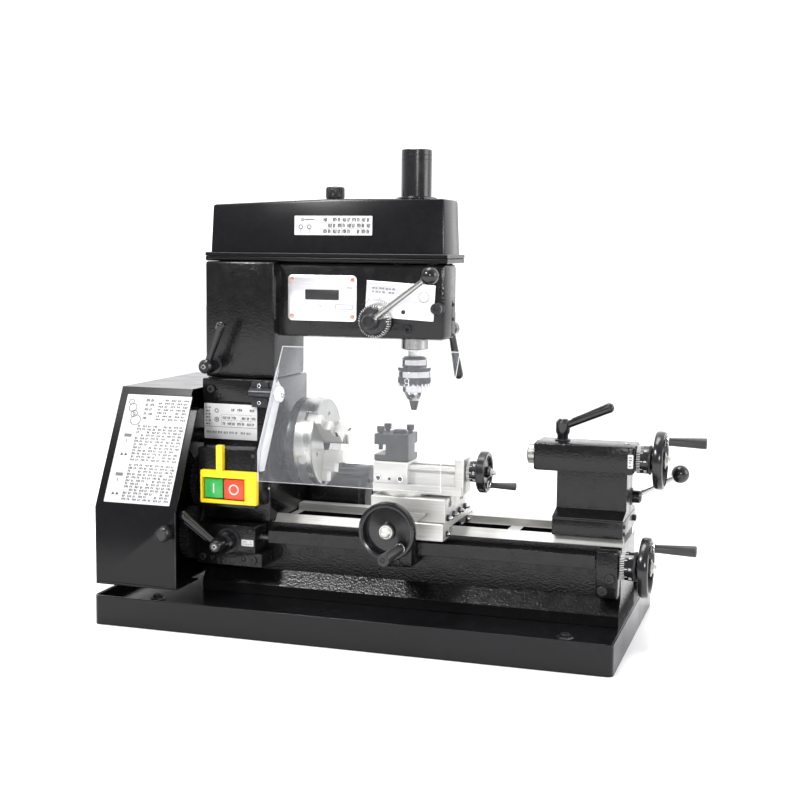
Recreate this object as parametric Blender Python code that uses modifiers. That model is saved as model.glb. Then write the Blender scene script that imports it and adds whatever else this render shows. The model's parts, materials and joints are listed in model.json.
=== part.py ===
"""Small combination bench lathe and drill head, built as an assembly.

Every piece is one closed body.  Lengths below are millimetres measured from the
centre of the chip tray, X to the tailstock end, Y to the back, Z up from the
bench.  at() turns them into metres in the model frame.
"""
import math

import bpy
from mathutils import Matrix, Vector

# ---------------------------------------------------------------- constants
MM = 0.001
OFFSET_X = -32.65         # tray centre to the middle of the overall length
OFFSET_Y = 10.15          # tray centre to the middle of the overall depth
GAP = 0.3                 # clearance between touching pieces

AXIS_Y = 11.0             # lathe and drill centre line, front to back
AXIS_Z = 192.0            # lathe centre height above the bench
TRAY_X = (-284.0, 286.0)
TRAY_Y = (-146.0, 146.0)
TRAY_H = 32.0
TRAY_FLOOR = 22.0
TRAY_WALL = 2.5
BED_X = (-200.0, 276.0)
BED_FRONT = -36.0
BED_REAR = 62.0
BED_TOP = 105.0
WAY_TOP = 113.0
SCREW_Y = -44.0           # leadscrew axis
SCREW_Z = 88.0
SCREW_R = 4.5
HEAD_X = (-200.0, -117.0)
HEAD_Y = (-45.0, 67.0)
HEAD_TOP = 266.0
COLUMN_Y = (-35.0, 57.0)
ARM_X = 75.6
ARM_Y = (-18.0, 30.0)
ARM_Z = (314.0, 397.0)
SHAFT_X = -159.0          # vertical shaft inside the column
MOTOR_Y = 104.0           # motor axis, behind the bed
MOTOR_Z = 117.0
DRILL_X = 33.0            # drill spindle axis
FEED_X = -2.0             # drill feed shaft axis
FEED_Z = 334.0
KNOB_X = -62.0            # belt cover stud
CHUCK_R = 50.0
CHUCK_X = (-92.0, -71.0)
WHEEL_R = 31.5
CROSS_X = 40.0            # cross feed screw axis
CROSS_Z = 118.5
DOVE_X = 44.0             # middle of the dovetail under the cross slide
TOP_Y = -31.0             # compound slide axis
TOP_Z = 175.5
SWIVEL_X = 38.0
SEG = 24

CAST = ("cast_black", (0.016, 0.016, 0.018), 0.0, 0.30)
SHEET = ("sheet_black", (0.012, 0.012, 0.014), 0.0, 0.42)
STEEL = ("ground_steel", (0.62, 0.62, 0.62), 1.0, 0.30)
CHROME = ("chromed_steel", (0.72, 0.72, 0.74), 1.0, 0.12)
BLUED = ("blackened_steel", (0.05, 0.05, 0.055), 0.8, 0.38)
PLASTIC = ("black_plastic", (0.010, 0.010, 0.011), 0.0, 0.24)
YELLOW = ("yellow_plastic", (0.85, 0.55, 0.02), 0.0, 0.35)
GREEN = ("green_plastic", (0.01, 0.35, 0.09), 0.0, 0.30)
RED = ("red_plastic", (0.75, 0.05, 0.03), 0.0, 0.30)
CLEAR = ("clear_acrylic", (0.86, 0.89, 0.90), 0.0, 0.05)
RUBBER = ("belt_rubber", (0.02, 0.02, 0.02), 0.0, 0.80)


# ---------------------------------------------------------------- scene set-up
def clear_scene():
    for obj in list(bpy.data.objects):
        bpy.data.objects.remove(obj, do_unlink=True)


def new_collection(name):
    coll = bpy.data.collections.new(name)
    bpy.context.scene.collection.children.link(coll)
    return coll


clear_scene()
PARTS = new_collection("metal_lathe")
TOOLS = new_collection("cutters")


# ---------------------------------------------------------------- helpers
def at(x, y, z):
    return Vector(((x + OFFSET_X) * MM, (y + OFFSET_Y) * MM, z * MM))


def add_mesh(name, verts, faces, origin, edges=()):
    """Mesh from points in tray millimetres, with its origin at `origin`."""
    base = at(*origin)
    mesh = bpy.data.meshes.new(name)
    mesh.from_pydata([at(*v) - base for v in verts], list(edges), faces)
    obj = bpy.data.objects.new(name, mesh)
    obj.location = base
    PARTS.objects.link(obj)
    return obj


def box(name, x, y, z, origin=None):
    """Cube primitive stretched to the ranges x, y and z."""
    mid = (sum(x) / 2, sum(y) / 2, sum(z) / 2)
    bpy.ops.mesh.primitive_cube_add(size=1, location=at(*mid))
    obj = bpy.context.active_object
    obj.name = name
    size = Matrix.Diagonal(((x[1] - x[0]) * MM, (y[1] - y[0]) * MM, (z[1] - z[0]) * MM, 1))
    obj.data.transform(size)
    keep_in(obj, PARTS)
    if origin is not None:
        set_origin(obj, origin)
    return obj


def keep_in(obj, coll):
    for old in list(obj.users_collection):
        old.objects.unlink(obj)
    coll.objects.link(obj)


def set_origin(obj, origin):
    """Move the origin of an unrotated object without moving its surface."""
    base = at(*origin)
    obj.data.transform(Matrix.Translation(obj.location - base))
    obj.location = base


AXES = {"Z": Vector((0, 0, 1)), "X": Vector((1, 0, 0)), "F": Vector((0, -1, 0))}


def along(axis, origin, value):
    """Signed distance from the origin to a coordinate value along the axis."""
    if axis == "Z":
        return value - origin[2]
    if axis == "X":
        return value - origin[0]
    return origin[1] - value


def turned(name, axis, origin, profile, steps=SEG, closed=False):
    """Turned piece: (radius, coordinate) pairs, run from the top of the axis down.

    axis is Z (up), X (to the tailstock) or F (to the front).
    """
    points = [(r, along(axis, origin, c)) for r, c in profile]
    mesh = bpy.data.meshes.new(name)
    verts = [(r * MM, 0.0, h * MM) for r, h in points]
    edges = [(i, i + 1) for i in range(len(verts) - 1)]
    if closed:
        edges.append((len(verts) - 1, 0))
    mesh.from_pydata(verts, edges, [])
    obj = bpy.data.objects.new(name, mesh)
    PARTS.objects.link(obj)
    obj.location = at(*origin)
    obj.rotation_euler = Vector((0, 0, 1)).rotation_difference(AXES[axis]).to_euler()
    screw = obj.modifiers.new("turn", "SCREW")
    screw.axis = "Z"
    screw.steps = steps
    screw.render_steps = steps
    screw.use_merge_vertices = True
    screw.merge_threshold = 0.00001
    return obj


def rod(name, p0, p1, r0, r1=None, sides=16, origin=None):
    """Straight or tapered round bar between two points."""
    r1 = r0 if r1 is None else r1
    a = at(*p0)
    b = at(*p1)
    length = (b - a).length
    bpy.ops.mesh.primitive_cone_add(vertices=sides, radius1=r0 * MM, radius2=r1 * MM,
                                    depth=length, location=(0, 0, 0))
    obj = bpy.context.active_object
    obj.name = name
    turn = Vector((0, 0, 1)).rotation_difference(b - a).to_matrix().to_4x4()
    obj.data.transform(Matrix.Translation((a + b) / 2) @ turn)
    keep_in(obj, PARTS)
    set_origin(obj, p0 if origin is None else origin)
    return obj


def ball(name, centre, radius, origin=None, sides=12, rings=8):
    bpy.ops.mesh.primitive_uv_sphere_add(segments=sides, ring_count=rings, radius=radius * MM,
                                         location=at(*centre))
    obj = bpy.context.active_object
    obj.name = name
    keep_in(obj, PARTS)
    if origin is not None:
        set_origin(obj, origin)
    return obj


def prism_x(name, outline, x, origin=None):
    """Outline of (y, z) points drawn out along X."""
    count = len(outline)
    verts = [(x[0], y, z) for y, z in outline] + [(x[1], y, z) for y, z in outline]
    faces = [tuple(reversed(range(count))), tuple(range(count, 2 * count))]
    for i in range(count):
        j = (i + 1) % count
        faces.append((i, j, count + j, count + i))
    return add_mesh(name, verts, faces, origin or (x[0], *outline[0]))


def prism_y(name, outline, y, origin=None):
    """Outline of (x, z) points, anticlockwise seen from the front, along Y."""
    count = len(outline)
    verts = [(x, y[0], z) for x, z in outline] + [(x, y[1], z) for x, z in outline]
    faces = [tuple(range(count)), tuple(reversed(range(count, 2 * count)))]
    for i in range(count):
        j = (i + 1) % count
        faces.append((j, i, count + i, count + j))
    return add_mesh(name, verts, faces, origin or (outline[0][0], y[0], outline[0][1]))


def prism_z(name, outline, z, origin=None):
    """Outline of (x, y) points, anticlockwise from above, drawn up along Z."""
    count = len(outline)
    verts = [(x, y, z[0]) for x, y in outline] + [(x, y, z[1]) for x, y in outline]
    faces = [tuple(reversed(range(count))), tuple(range(count, 2 * count))]
    for i in range(count):
        j = (i + 1) % count
        faces.append((i, j, count + j, count + i))
    return add_mesh(name, verts, faces, origin or (*outline[0], z[0]))


def combine(obj, kind, others):
    for other in others:
        keep_in(other, TOOLS)
        other.hide_render = True
        other.display_type = "WIRE"
        mod = obj.modifiers.new(kind.lower(), "BOOLEAN")
        mod.operation = kind
        mod.solver = "EXACT"
        mod.object = other
    return obj


def cut(obj, *others):
    return combine(obj, "DIFFERENCE", others)


def fuse(obj, *others):
    return combine(obj, "UNION", others)


def bevel(obj, width, segments=2, angle=50.0):
    mod = obj.modifiers.new("soften", "BEVEL")
    mod.width = width * MM
    mod.segments = segments
    mod.limit_method = "ANGLE"
    mod.angle_limit = math.radians(angle)
    return obj


def paint(obj, look):
    name, rgb, metallic, rough = look
    mat = bpy.data.materials.new(obj.name + "_" + name)
    mat.use_nodes = True
    shader = mat.node_tree.nodes["Principled BSDF"]
    shader.inputs["Base Color"].default_value = (*rgb, 1.0)
    shader.inputs["Metallic"].default_value = metallic
    shader.inputs["Roughness"].default_value = rough
    obj.data.materials.append(mat)
    return obj


def gear_outline(radius, teeth, depth, y, z):
    """Gear outline as (y, z) points with straight-sided teeth."""
    points = []
    pitch = 2 * math.pi / teeth
    for i in range(teeth):
        for part, r in ((0.05, radius - depth), (0.35, radius - depth), (0.5, radius), (0.85, radius)):
            a = (i + part) * pitch
            points.append((y + r * math.cos(a), z + r * math.sin(a)))
    return points


def gear(name, radius, teeth, x, y, z, bore):
    obj = prism_x(name, gear_outline(radius, teeth, 2.0, y, z), x, (x[0], y, z))
    cut(obj, rod(name + "_bore", (x[0] - 1, y, z), (x[1] + 1, y, z), bore, sides=24))
    return paint(obj, BLUED)


def handwheel_profile(axis_end, out, bore, dial_r, dial_depth, neck, rim=WHEEL_R, width=12.0):
    """Closed outline of a dished wheel with its dial, from the outer face inward.

    axis_end is the coordinate of the outer face, out is +1 when the outer face
    looks along the coordinate and -1 when it looks against it.
    """
    depth = width + neck + dial_depth
    shape = [(bore, 0), (9.0, 0), (9.5, 5.0), (rim - 7.5, 7.5), (rim - 5.5, 1.0), (rim - 3.5, 0),
             (rim - 1.0, 0.8), (rim, 3.0), (rim, 8.0), (rim - 1.0, 10.2), (rim - 4.0, 11.0),
             (11.0, 11.0), (9.0, width), (9.0, width + neck), (dial_r, width + neck),
             (dial_r, depth), (bore, depth)]
    return [(r, axis_end - out * d) for r, d in shape]


def handle_profile(start, length, out, r, bore=2.3, deep=10.6):
    """Free-turning tapered grip on a pin, from its flat, recessed tip back to the blind hole."""
    shape = [(0, length - 1.0), (2.6, length - 1.0), (2.6, length), (r - 0.9, length), (r, length - 0.9),
             (r * 0.72, 4.2), (r * 0.80, 3.2), (r * 0.80, 0), (bore, 0), (bore, deep), (0, deep)]
    return [(radius, start + out * h) for radius, h in shape]


# ---------------------------------------------------------------- base
def rounded(x, y, radius, count=4):
    """Rectangle with round corners, as (x, y) points anticlockwise."""
    points = []
    for k, (cx, cy) in enumerate(((x[1], y[1]), (x[0], y[1]), (x[0], y[0]), (x[1], y[0]))):
        sx = 1 if cx == x[1] else -1
        sy = 1 if cy == y[1] else -1
        for i in range(count + 1):
            a = math.pi / 2 * (k + i / count)
            points.append((cx - sx * radius + radius * math.cos(a),
                           cy - sy * radius + radius * math.sin(a)))
    return points


def chip_tray():
    tray = prism_z("chip_tray", rounded(TRAY_X, TRAY_Y, 6.0), (0.0, TRAY_H))
    w = TRAY_WALL
    inside = rounded((TRAY_X[0] + w, TRAY_X[1] - w), (TRAY_Y[0] + w, TRAY_Y[1] - w), 6.0 - w)
    cut(tray, prism_z("tray_top_pocket", inside, (TRAY_FLOOR, TRAY_H + 10)),
        prism_z("tray_under_pocket", inside, (-10, TRAY_FLOOR - 2.0)))
    paint(tray, SHEET)


def bed():
    low = TRAY_FLOOR + GAP
    outline = [(-48, low), (70, low), (70, 32), (BED_REAR, 42), (BED_REAR, BED_TOP), (55, BED_TOP),
               (55, WAY_TOP), (39, WAY_TOP), (39, BED_TOP), (-17, BED_TOP), (-24, WAY_TOP),
               (-26, WAY_TOP), (-33, BED_TOP), (BED_FRONT, BED_TOP), (BED_FRONT, 50), (-48, 34)]
    body = prism_x("bed", outline, BED_X)
    cut(body, box("bed_head_seat", (-201, HEAD_X[1] + GAP), (-40, 60), (BED_TOP, 120)))
    for i, span in enumerate(((-108, 10), (24, 142), (156, 262))):
        cut(body, box("bed_window_%d" % i, span, (-13, 35), (10, 130)))
    paint(body, CAST)


def leadscrew_guard():
    front = -53.0
    back = BED_FRONT - GAP
    outline = [(front, 84), (front + 2, 84), (front + 2, 96), (back, 96), (back, 98), (front, 98)]
    paint(prism_x("leadscrew_guard", outline, (-116.5, 251)), CAST)


def end_bracket():
    block = box("end_bracket", (252.5, 275.6), (-57, BED_FRONT - GAP), (54.5, 104))
    bevel(block, 2.0)
    cut(block, rod("end_bracket_bore", (250, SCREW_Y, SCREW_Z), (278, SCREW_Y, SCREW_Z), 4.8))
    paint(block, CAST)


# ---------------------------------------------------------------- headstock and drill head
def headstock():
    block = box("headstock", HEAD_X, HEAD_Y, (BED_TOP + GAP, HEAD_TOP))
    bevel(block, 2.5)
    axis = (AXIS_Y, AXIS_Z)
    cut(block, box("headstock_pocket", (-188, -129), (-27, 49), (140, HEAD_TOP + 9)),
        rod("front_bearing", (-150, *axis), (-110, *axis), 14.3, sides=SEG),
        rod("rear_bearing", (-210, *axis), (-160, *axis), 12.3, sides=SEG))
    paint(block, CAST)


def mill_head():
    low = HEAD_TOP + GAP
    top = ARM_Z[1]
    body = bevel(box("mill_head", (HEAD_X[0] - 1, HEAD_X[1]), COLUMN_Y, (low, top)), 3.0)
    arm = bevel(box("arm", (-130, ARM_X), ARM_Y, ARM_Z), 5.0, 2)
    stud = rod("cover_stud", (KNOB_X, AXIS_Y, top - 5), (KNOB_X, AXIS_Y, 474), 3.0, sides=12)
    fuse(body, arm, stud)
    cut(body,
        box("column_pocket", (-195, -123), (-29, 51), (low - 9, top - 12)),
        rod("head_shaft_hole", (SHAFT_X, AXIS_Y, top - 20), (SHAFT_X, AXIS_Y, top + 9), 6.4),
        rod("quill_bore", (DRILL_X, AXIS_Y, 300), (DRILL_X, AXIS_Y, 410), 15.3, sides=SEG),
        box("quill_slit", (DRILL_X + 5, ARM_X + 5), (10, 12.2), (300, 357)),
        rod("pinion_pocket", (FEED_X, 1.5, FEED_Z), (FEED_X, 20.5, FEED_Z), 20.4, sides=SEG),
        rod("feed_shaft_hole", (FEED_X, -30, FEED_Z), (FEED_X, 5, FEED_Z), 6.3, sides=20))
    paint(body, CAST)


def motor():
    """Motor lying behind the bed, with end bells and the foot that holds it to the bed."""
    origin = (-116, MOTOR_Y, MOTOR_Z)
    profile = [(0, -42), (20, -42), (32, -45.5), (35.5, -50), (35.5, -62), (34.4, -63), (34.4, -168),
               (35.5, -169), (35.5, -181), (32, -185.5), (20, -189.7), (5.4, -189.7), (5.4, -176),
               (0, -176)]
    body = turned("motor", "X", origin, profile, steps=30)
    fuse(body, box("motor_foot", (-110, -50), (BED_REAR + GAP, 80), (88, 140)))
    paint(body, CAST)


def motor_pulley():
    """Motor shaft end with the small pulley of the first belt."""
    origin = (-237, MOTOR_Y, MOTOR_Z)
    profile = [(0, -178), (5, -178), (5, -230), (14, -230.3), (14, -232.6), (11.6, -233.4),
               (11.6, -240.6), (14, -241.4), (14, -243.7), (5, -243.7), (5, -246), (0, -246)]
    paint(turned("motor_pulley", "X", origin, profile), STEEL)


def head_shaft():
    """Vertical shaft: two-step pulley on top, bevel wheel at the spindle."""
    origin = (SHAFT_X, AXIS_Y, AXIS_Z)
    apex = AXIS_Z
    profile = [(0, 446), (6, 446), (6, 435), (25, 434), (25, 431), (20, 430.4), (20, 423.6),
               (25, 423), (25, 420), (19, 418), (15, 415.6), (15, 408.4), (19, 406), (19, 401),
               (6, 401), (6, apex + 32), (10, apex + 30), (10, apex + 22), (21.4, apex + 22),
               (13.4, apex + 14), (0, apex + 14)]
    paint(turned("head_shaft", "Z", origin, profile), STEEL)


def spindle_pulley():
    origin = (DRILL_X, AXIS_Y, 420)
    profile = [(6.3, 440), (10, 440), (10, 435), (25, 434), (25, 431), (20, 430.4), (20, 423.6),
               (25, 423), (25, 420), (19, 418), (15, 415.6), (15, 408.4), (19, 406), (19, 401),
               (14, 401), (14, 390), (6.3, 390)]
    paint(turned("spindle_pulley", "Z", origin, profile, closed=True), STEEL)


def belt_outline(c1, r1, c2, r2, count=14):
    """Taut loop round two circles, anticlockwise, as points in the plane of the belt."""
    phi = math.atan2(c2[1] - c1[1], c2[0] - c1[0])
    lean = math.acos((r1 - r2) / math.dist(c1, c2))
    points = []
    for i in range(count + 1):
        a = phi + lean + (2 * math.pi - 2 * lean) * i / count
        points.append((c1[0] + r1 * math.cos(a), c1[1] + r1 * math.sin(a)))
    for i in range(count + 1):
        a = phi - lean + 2 * lean * i / count
        points.append((c2[0] + r2 * math.cos(a), c2[1] + r2 * math.sin(a)))
    return points


def belts():
    thick = 4.0
    ends = (SHAFT_X, AXIS_Y), (DRILL_X, AXIS_Y)
    outer = belt_outline(ends[0], 20.4 + thick, ends[1], 20.4 + thick)
    inner = belt_outline(ends[0], 20.4, ends[1], 20.4)
    top = prism_z("drive_belt", outer, (424, 430))
    paint(cut(top, prism_z("drive_belt_inside", inner, (420, 434))), RUBBER)
    ends = (AXIS_Y, AXIS_Z), (MOTOR_Y, MOTOR_Z)
    outer = belt_outline(ends[0], 28 + thick, ends[1], 12 + thick)
    inner = belt_outline(ends[0], 28, ends[1], 12)
    side = prism_x("motor_belt", outer, (-240, -234))
    paint(cut(side, prism_x("motor_belt_inside", inner, (-244, -230))), RUBBER)


# ---------------------------------------------------------------- lathe spindle and chuck
def spindle():
    """Hollow spindle with its bevel wheel, change gear and belt pulley."""
    origin = (CHUCK_X[0], AXIS_Y, AXIS_Z)
    m = SHAFT_X
    profile = [(0, -93), (14, -93), (14, -102.3), (22, -102.3), (22, -116.6), (14, -116.6),
               (14, -130), (10, -131), (10, m + 22), (21.4, m + 22), (13.4, m + 14), (10, m + 14),
               (10, -186), (12, -186), (12, -203), (9, -203), (9, -230), (31, -230.3),
               (31, -232.6), (27.6, -233.4), (27.6, -240.6), (31, -241.4), (31, -243.7),
               (9, -243.7), (9, -246), (0, -246)]
    shaft = turned("spindle", "X", origin, profile)
    teeth = gear_outline(20.0, 20, 2.0, AXIS_Y, AXIS_Z)
    fuse(shaft, prism_x("spindle_teeth", teeth, (-217, -206)))
    cut(shaft, rod("spindle_bore", (-250, AXIS_Y, AXIS_Z), (-90, AXIS_Y, AXIS_Z), 5.0))
    paint(shaft, STEEL)


def chuck_backplate():
    origin = (-102, AXIS_Y, AXIS_Z)
    profile = [(14.3, -92.3), (CHUCK_R, -92.3), (CHUCK_R, -101.2), (CHUCK_R - 0.8, -102),
               (14.3, -102)]
    paint(turned("chuck_backplate", "X", origin, profile, steps=36, closed=True), BLUED)


JAW_ANGLES = (137.0, 257.0, 17.0)


def radial(part, degrees):
    """Swing a piece drawn above the lathe axis round to its own angle."""
    turn = Matrix.Rotation(math.radians(degrees - 90.0), 4, "X")
    pivot = Matrix.Translation(at(CHUCK_X[0], AXIS_Y, AXIS_Z) - part.location)
    part.data.transform(pivot @ turn @ pivot.inverted())
    return part


def chuck_body():
    face, back = CHUCK_X[1], CHUCK_X[0]
    origin = (back, AXIS_Y, AXIS_Z)
    profile = [(11, face), (CHUCK_R - 1.2, face), (CHUCK_R, face - 1.2), (CHUCK_R, back), (11, back)]
    body = turned("chuck_body", "X", origin, profile, steps=36, closed=True)
    for i, angle in enumerate(JAW_ANGLES):
        y = (AXIS_Y - 6.3, AXIS_Y + 6.3)
        slot = box("jaw_slot_%d" % i, (face - 12.5, face + 5), y, (AXIS_Z + 2, AXIS_Z + 60))
        cut(body, radial(slot, angle))
    paint(body, STEEL)


def chuck_jaws():
    face = CHUCK_X[1]
    for i, angle in enumerate(JAW_ANGLES):
        low = AXIS_Z + 9.5
        outline = [(low, face - 12), (low + 35, face - 12), (low + 35, face + 6), (low + 24, face + 6),
                   (low + 24, face + 14.5), (low + 13, face + 14.5), (low + 13, face + 23), (low, face + 23)]
        flat = [(x, z) for z, x in outline]
        name = "chuck_jaw_%d" % (i + 1)
        jaw = prism_y(name, flat[::-1], (AXIS_Y - 6, AXIS_Y + 6))
        set_origin(jaw, (face, AXIS_Y, low + 17))
        radial(jaw, angle)
        paint(jaw, STEEL)


# ---------------------------------------------------------------- change gears and feed
IDLER = (-14.15, 144.4)


def change_gears():
    gear("idler_gear", 33.2, 32, (-216, -207), *IDLER, 6.3)
    drive = prism_x("leadscrew_gear", gear_outline(30.0, 28, 2.0, SCREW_Y, SCREW_Z), (-217, -206),
                    (-217, SCREW_Y, SCREW_Z))
    fuse(drive, rod("gear_stub", (-222, SCREW_Y, SCREW_Z), (-172, SCREW_Y, SCREW_Z), SCREW_R, sides=16))
    paint(drive, BLUED)


def gear_banjo():
    x = (-204.3, -200.4)
    plate = rod("gear_banjo", (x[0], SCREW_Y, SCREW_Z), (x[1], SCREW_Y, SCREW_Z), 13, sides=24)
    dy = IDLER[0] - SCREW_Y
    dz = IDLER[1] - SCREW_Z
    length = math.hypot(dy, dz)
    ny, nz = -dz / length * 8, dy / length * 8
    web = [(SCREW_Y + ny, SCREW_Z + nz), (SCREW_Y - ny, SCREW_Z - nz),
           (IDLER[0] - ny, IDLER[1] - nz), (IDLER[0] + ny, IDLER[1] + nz)]
    inner = (x[0] + 0.4, x[1] - 0.4)
    head = (x[0] + 0.2, *IDLER), (x[1] - 0.2, *IDLER)
    fuse(plate, prism_x("banjo_web", web, inner), rod("banjo_head", *head, 11, sides=24),
         rod("banjo_stud", (-222, *IDLER), (-202, *IDLER), 6, sides=20))
    bore = (-206, SCREW_Y, SCREW_Z), (-198, SCREW_Y, SCREW_Z)
    cut(plate, rod("banjo_bore", *bore, 5.0))
    paint(plate, BLUED)


def leadscrew():
    origin = (0, SCREW_Y, SCREW_Z)
    profile = [(0, 306), (4, 306), (4, 276.2), (SCREW_R, 276), (SCREW_R, -168), (0, -168)]
    paint(turned("leadscrew", "X", origin, profile, steps=16), STEEL)


def wheel_with_pin(name, axis, origin, end, out, bore, dial_r, dial, neck, pin_at, look=PLASTIC,
                   rim=WHEEL_R, width=12.0):
    profile = handwheel_profile(end, out, bore, dial_r, dial, neck, rim, width)
    wheel = turned(name, axis, origin, profile, closed=True)
    tip = list(pin_at)
    root = list(pin_at)
    i = 1 if axis == "F" else 0
    root[i] = end - out * 9.4
    tip[i] = end + out * 10.0
    fuse(wheel, rod(name + "_pin", root, tip, 2.0, sides=12))
    return paint(wheel, look)


def leadscrew_wheel():
    origin = (295, SCREW_Y, SCREW_Z)
    pin = (0, SCREW_Y, SCREW_Z + 20.5)
    wheel_with_pin("leadscrew_handwheel", "X", origin, 308, 1, 4.3, 15, 13.7, 5, pin)
    grip = (308.3, SCREW_Y, SCREW_Z + 20.5)
    paint(turned("leadscrew_handle", "X", grip, handle_profile(308.3, 45, 1, 6), steps=16), PLASTIC)


def feed_gearbox():
    back = BED_FRONT - GAP
    block = box("feed_gearbox", (-197, -125), (-70, back), (72, 104.8))
    bevel(block, 2.0)
    base = box("gearbox_foot", (-196.5, -117.4), (-69.5, back - 0.2), (59, 74))
    fuse(block, base)
    hub = (-158, -71, 87), (-158, -56, 87)
    cut(block, rod("lever_hole", *hub, 5.3),
        rod("gearbox_bore", (-205, SCREW_Y, SCREW_Z), (-110, SCREW_Y, SCREW_Z), 4.8, sides=20))
    paint(block, CAST)


# ---------------------------------------------------------------- carriage
def saddle():
    block = box("saddle", (6, 89), (-62, 72), (101.9, 121))
    bevel(block, 0.8, 1)
    tail = [(DOVE_X - 15, 120), (DOVE_X + 15, 120), (DOVE_X + 15, 121), (DOVE_X + 26, 131),
            (DOVE_X - 26, 131), (DOVE_X - 15, 121)]
    fuse(block, prism_y("saddle_dovetail", tail, (-60, 70)))
    screw = (CROSS_X, -70, CROSS_Z), (CROSS_X, -40, CROSS_Z)
    cut(block, box("saddle_gap", (0, 95), (BED_FRONT - GAP, BED_REAR + GAP), (90, WAY_TOP + GAP)),
        box("saddle_slot", (CROSS_X - 5.4, CROSS_X + 5.4), (-50, 66), (114.6, 150)),
        rod("saddle_bore", *screw, 3.5))
    paint(block, STEEL)


def leadscrew_nut():
    front = box("leadscrew_nut", (25, 57), (-70, -53.3), (73, 101.6))
    bevel(front, 2.0)
    fuse(front, box("nut_foot", (25.5, 56.5), (-60, -37), (73.5, 83.6)),
         box("nut_block", (27, 55), (-50.6, -37), (80, 95.5)))
    cut(front, rod("nut_bore", (20, SCREW_Y, SCREW_Z), (60, SCREW_Y, SCREW_Z), 4.8))
    paint(front, CAST)


def cross_slide():
    block = box("cross_slide", (6, 90), (-58, 30), (121.3, 147))
    bevel(block, 0.8, 1)
    groove = [(DOVE_X - 15.6, 115), (DOVE_X + 15.6, 115), (DOVE_X + 15.6, 121),
              (DOVE_X + 27.1, 131.4), (DOVE_X - 27.1, 131.4), (DOVE_X - 15.6, 121)]
    cut(block, prism_y("cross_groove", groove, (-70, 80)))
    for i, y in enumerate((-38, 10)):
        cut(block, box("tee_neck_%d" % i, (0, 95), (y - 3, y + 3), (141, 150)),
            box("tee_wide_%d" % i, (0, 95), (y - 6, y + 6), (136.5, 142)))
    fuse(block, box("cross_nut", (CROSS_X - 5, CROSS_X + 5), (-14, 2), (115, 135)))
    cut(block, rod("cross_nut_bore", (CROSS_X, -20, CROSS_Z), (CROSS_X, 10, CROSS_Z), 3.5))
    paint(block, STEEL)


def cross_feed():
    """Cross screw with its dial and hand wheel in one piece."""
    origin = (CROSS_X, -62, CROSS_Z)
    pin = (CROSS_X + 16, 0, CROSS_Z - 16)
    wheel = wheel_with_pin("cross_handwheel", "F", origin, -108, -1, 3.0, 10, 14, 19, pin)
    profile = [(0, -106), (3.2, -106), (3.2, 40), (0, 40)]
    fuse(wheel, turned("cross_screw", "F", origin, profile, steps=16))
    grip = (CROSS_X + 16, -108.3, CROSS_Z - 16)
    paint(turned("cross_handle", "F", grip, handle_profile(-108.3, 58, -1, 6.5), steps=16), PLASTIC)


def rail_outline(gap):
    """Section of the compound rail, or of the groove that runs on it with some clearance."""
    y = TOP_Y
    return [(y - 9 - gap, 158), (y + 9 + gap, 158), (y + 9 + gap, 172 - gap),
            (y + 14 + gap, 176 - gap), (y + 14 + gap, 180 + gap), (y - 14 - gap, 180 + gap),
            (y - 14 - gap, 176 - gap), (y - 9 - gap, 172 - gap)]


def compound_base():
    plate = box("compound_base", (5, 105), (TOP_Y - 17, TOP_Y + 17), (150, 159.5))
    disc = rod("swivel_disc", (SWIVEL_X, TOP_Y, 147.3), (SWIVEL_X, TOP_Y, 151), 27, sides=30)
    end = bevel(box("compound_end", (96.5, 107), (TOP_Y - 15, TOP_Y + 15), (151, 190)), 1.5)
    fuse(plate, disc, end, prism_x("compound_rail", rail_outline(0.0), (6, 98)))
    bore = (90, TOP_Y, TOP_Z), (110, TOP_Y, TOP_Z)
    cut(plate, box("rail_slot", (0, 96.5), (TOP_Y - 4.5, TOP_Y + 4.5), (170.6, 185)),
        rod("compound_bore", *bore, 3.3))
    set_origin(plate, (SWIVEL_X, TOP_Y, 150))
    paint(plate, STEEL)


def top_slide():
    block = box("top_slide", (6, 45), (TOP_Y - 19, TOP_Y + 19), (159.8, 183.5))
    bevel(block, 1.0)
    cut(block, prism_x("top_groove", rail_outline(0.4), (-5, 50)))
    fuse(block, box("top_nut", (18, 32), (TOP_Y - 4.1, TOP_Y + 4.1), (171, 182)))
    cut(block, rod("top_nut_bore", (10, TOP_Y, TOP_Z), (40, TOP_Y, TOP_Z), 3.3))
    paint(block, STEEL)


def top_feed():
    """Compound screw with its dial, hand wheel and crank pin in one piece."""
    origin = (107, TOP_Y, TOP_Z)
    profile = [(0, 133), (4, 132.5), (6, 130.6), (6, 128), (16.5, 127.4), (18, 130), (21, 130.4),
               (22.5, 129), (22.5, 122.5), (21, 121), (17, 120.6), (11.5, 120), (11.5, 107.4),
               (3, 107.4), (3, 8), (0, 8)]
    wheel = turned("top_handwheel", "X", origin, profile)
    pin = (0, TOP_Y, TOP_Z - 14)
    fuse(wheel, rod("top_pin", (124, *pin[1:]), (140, *pin[1:]), 2.0, sides=12))
    paint(wheel, PLASTIC)
    grip = (130.8, *pin[1:])
    paint(turned("top_handle", "X", grip, handle_profile(130.8, 30, 1, 4.2), steps=16), PLASTIC)


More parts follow.
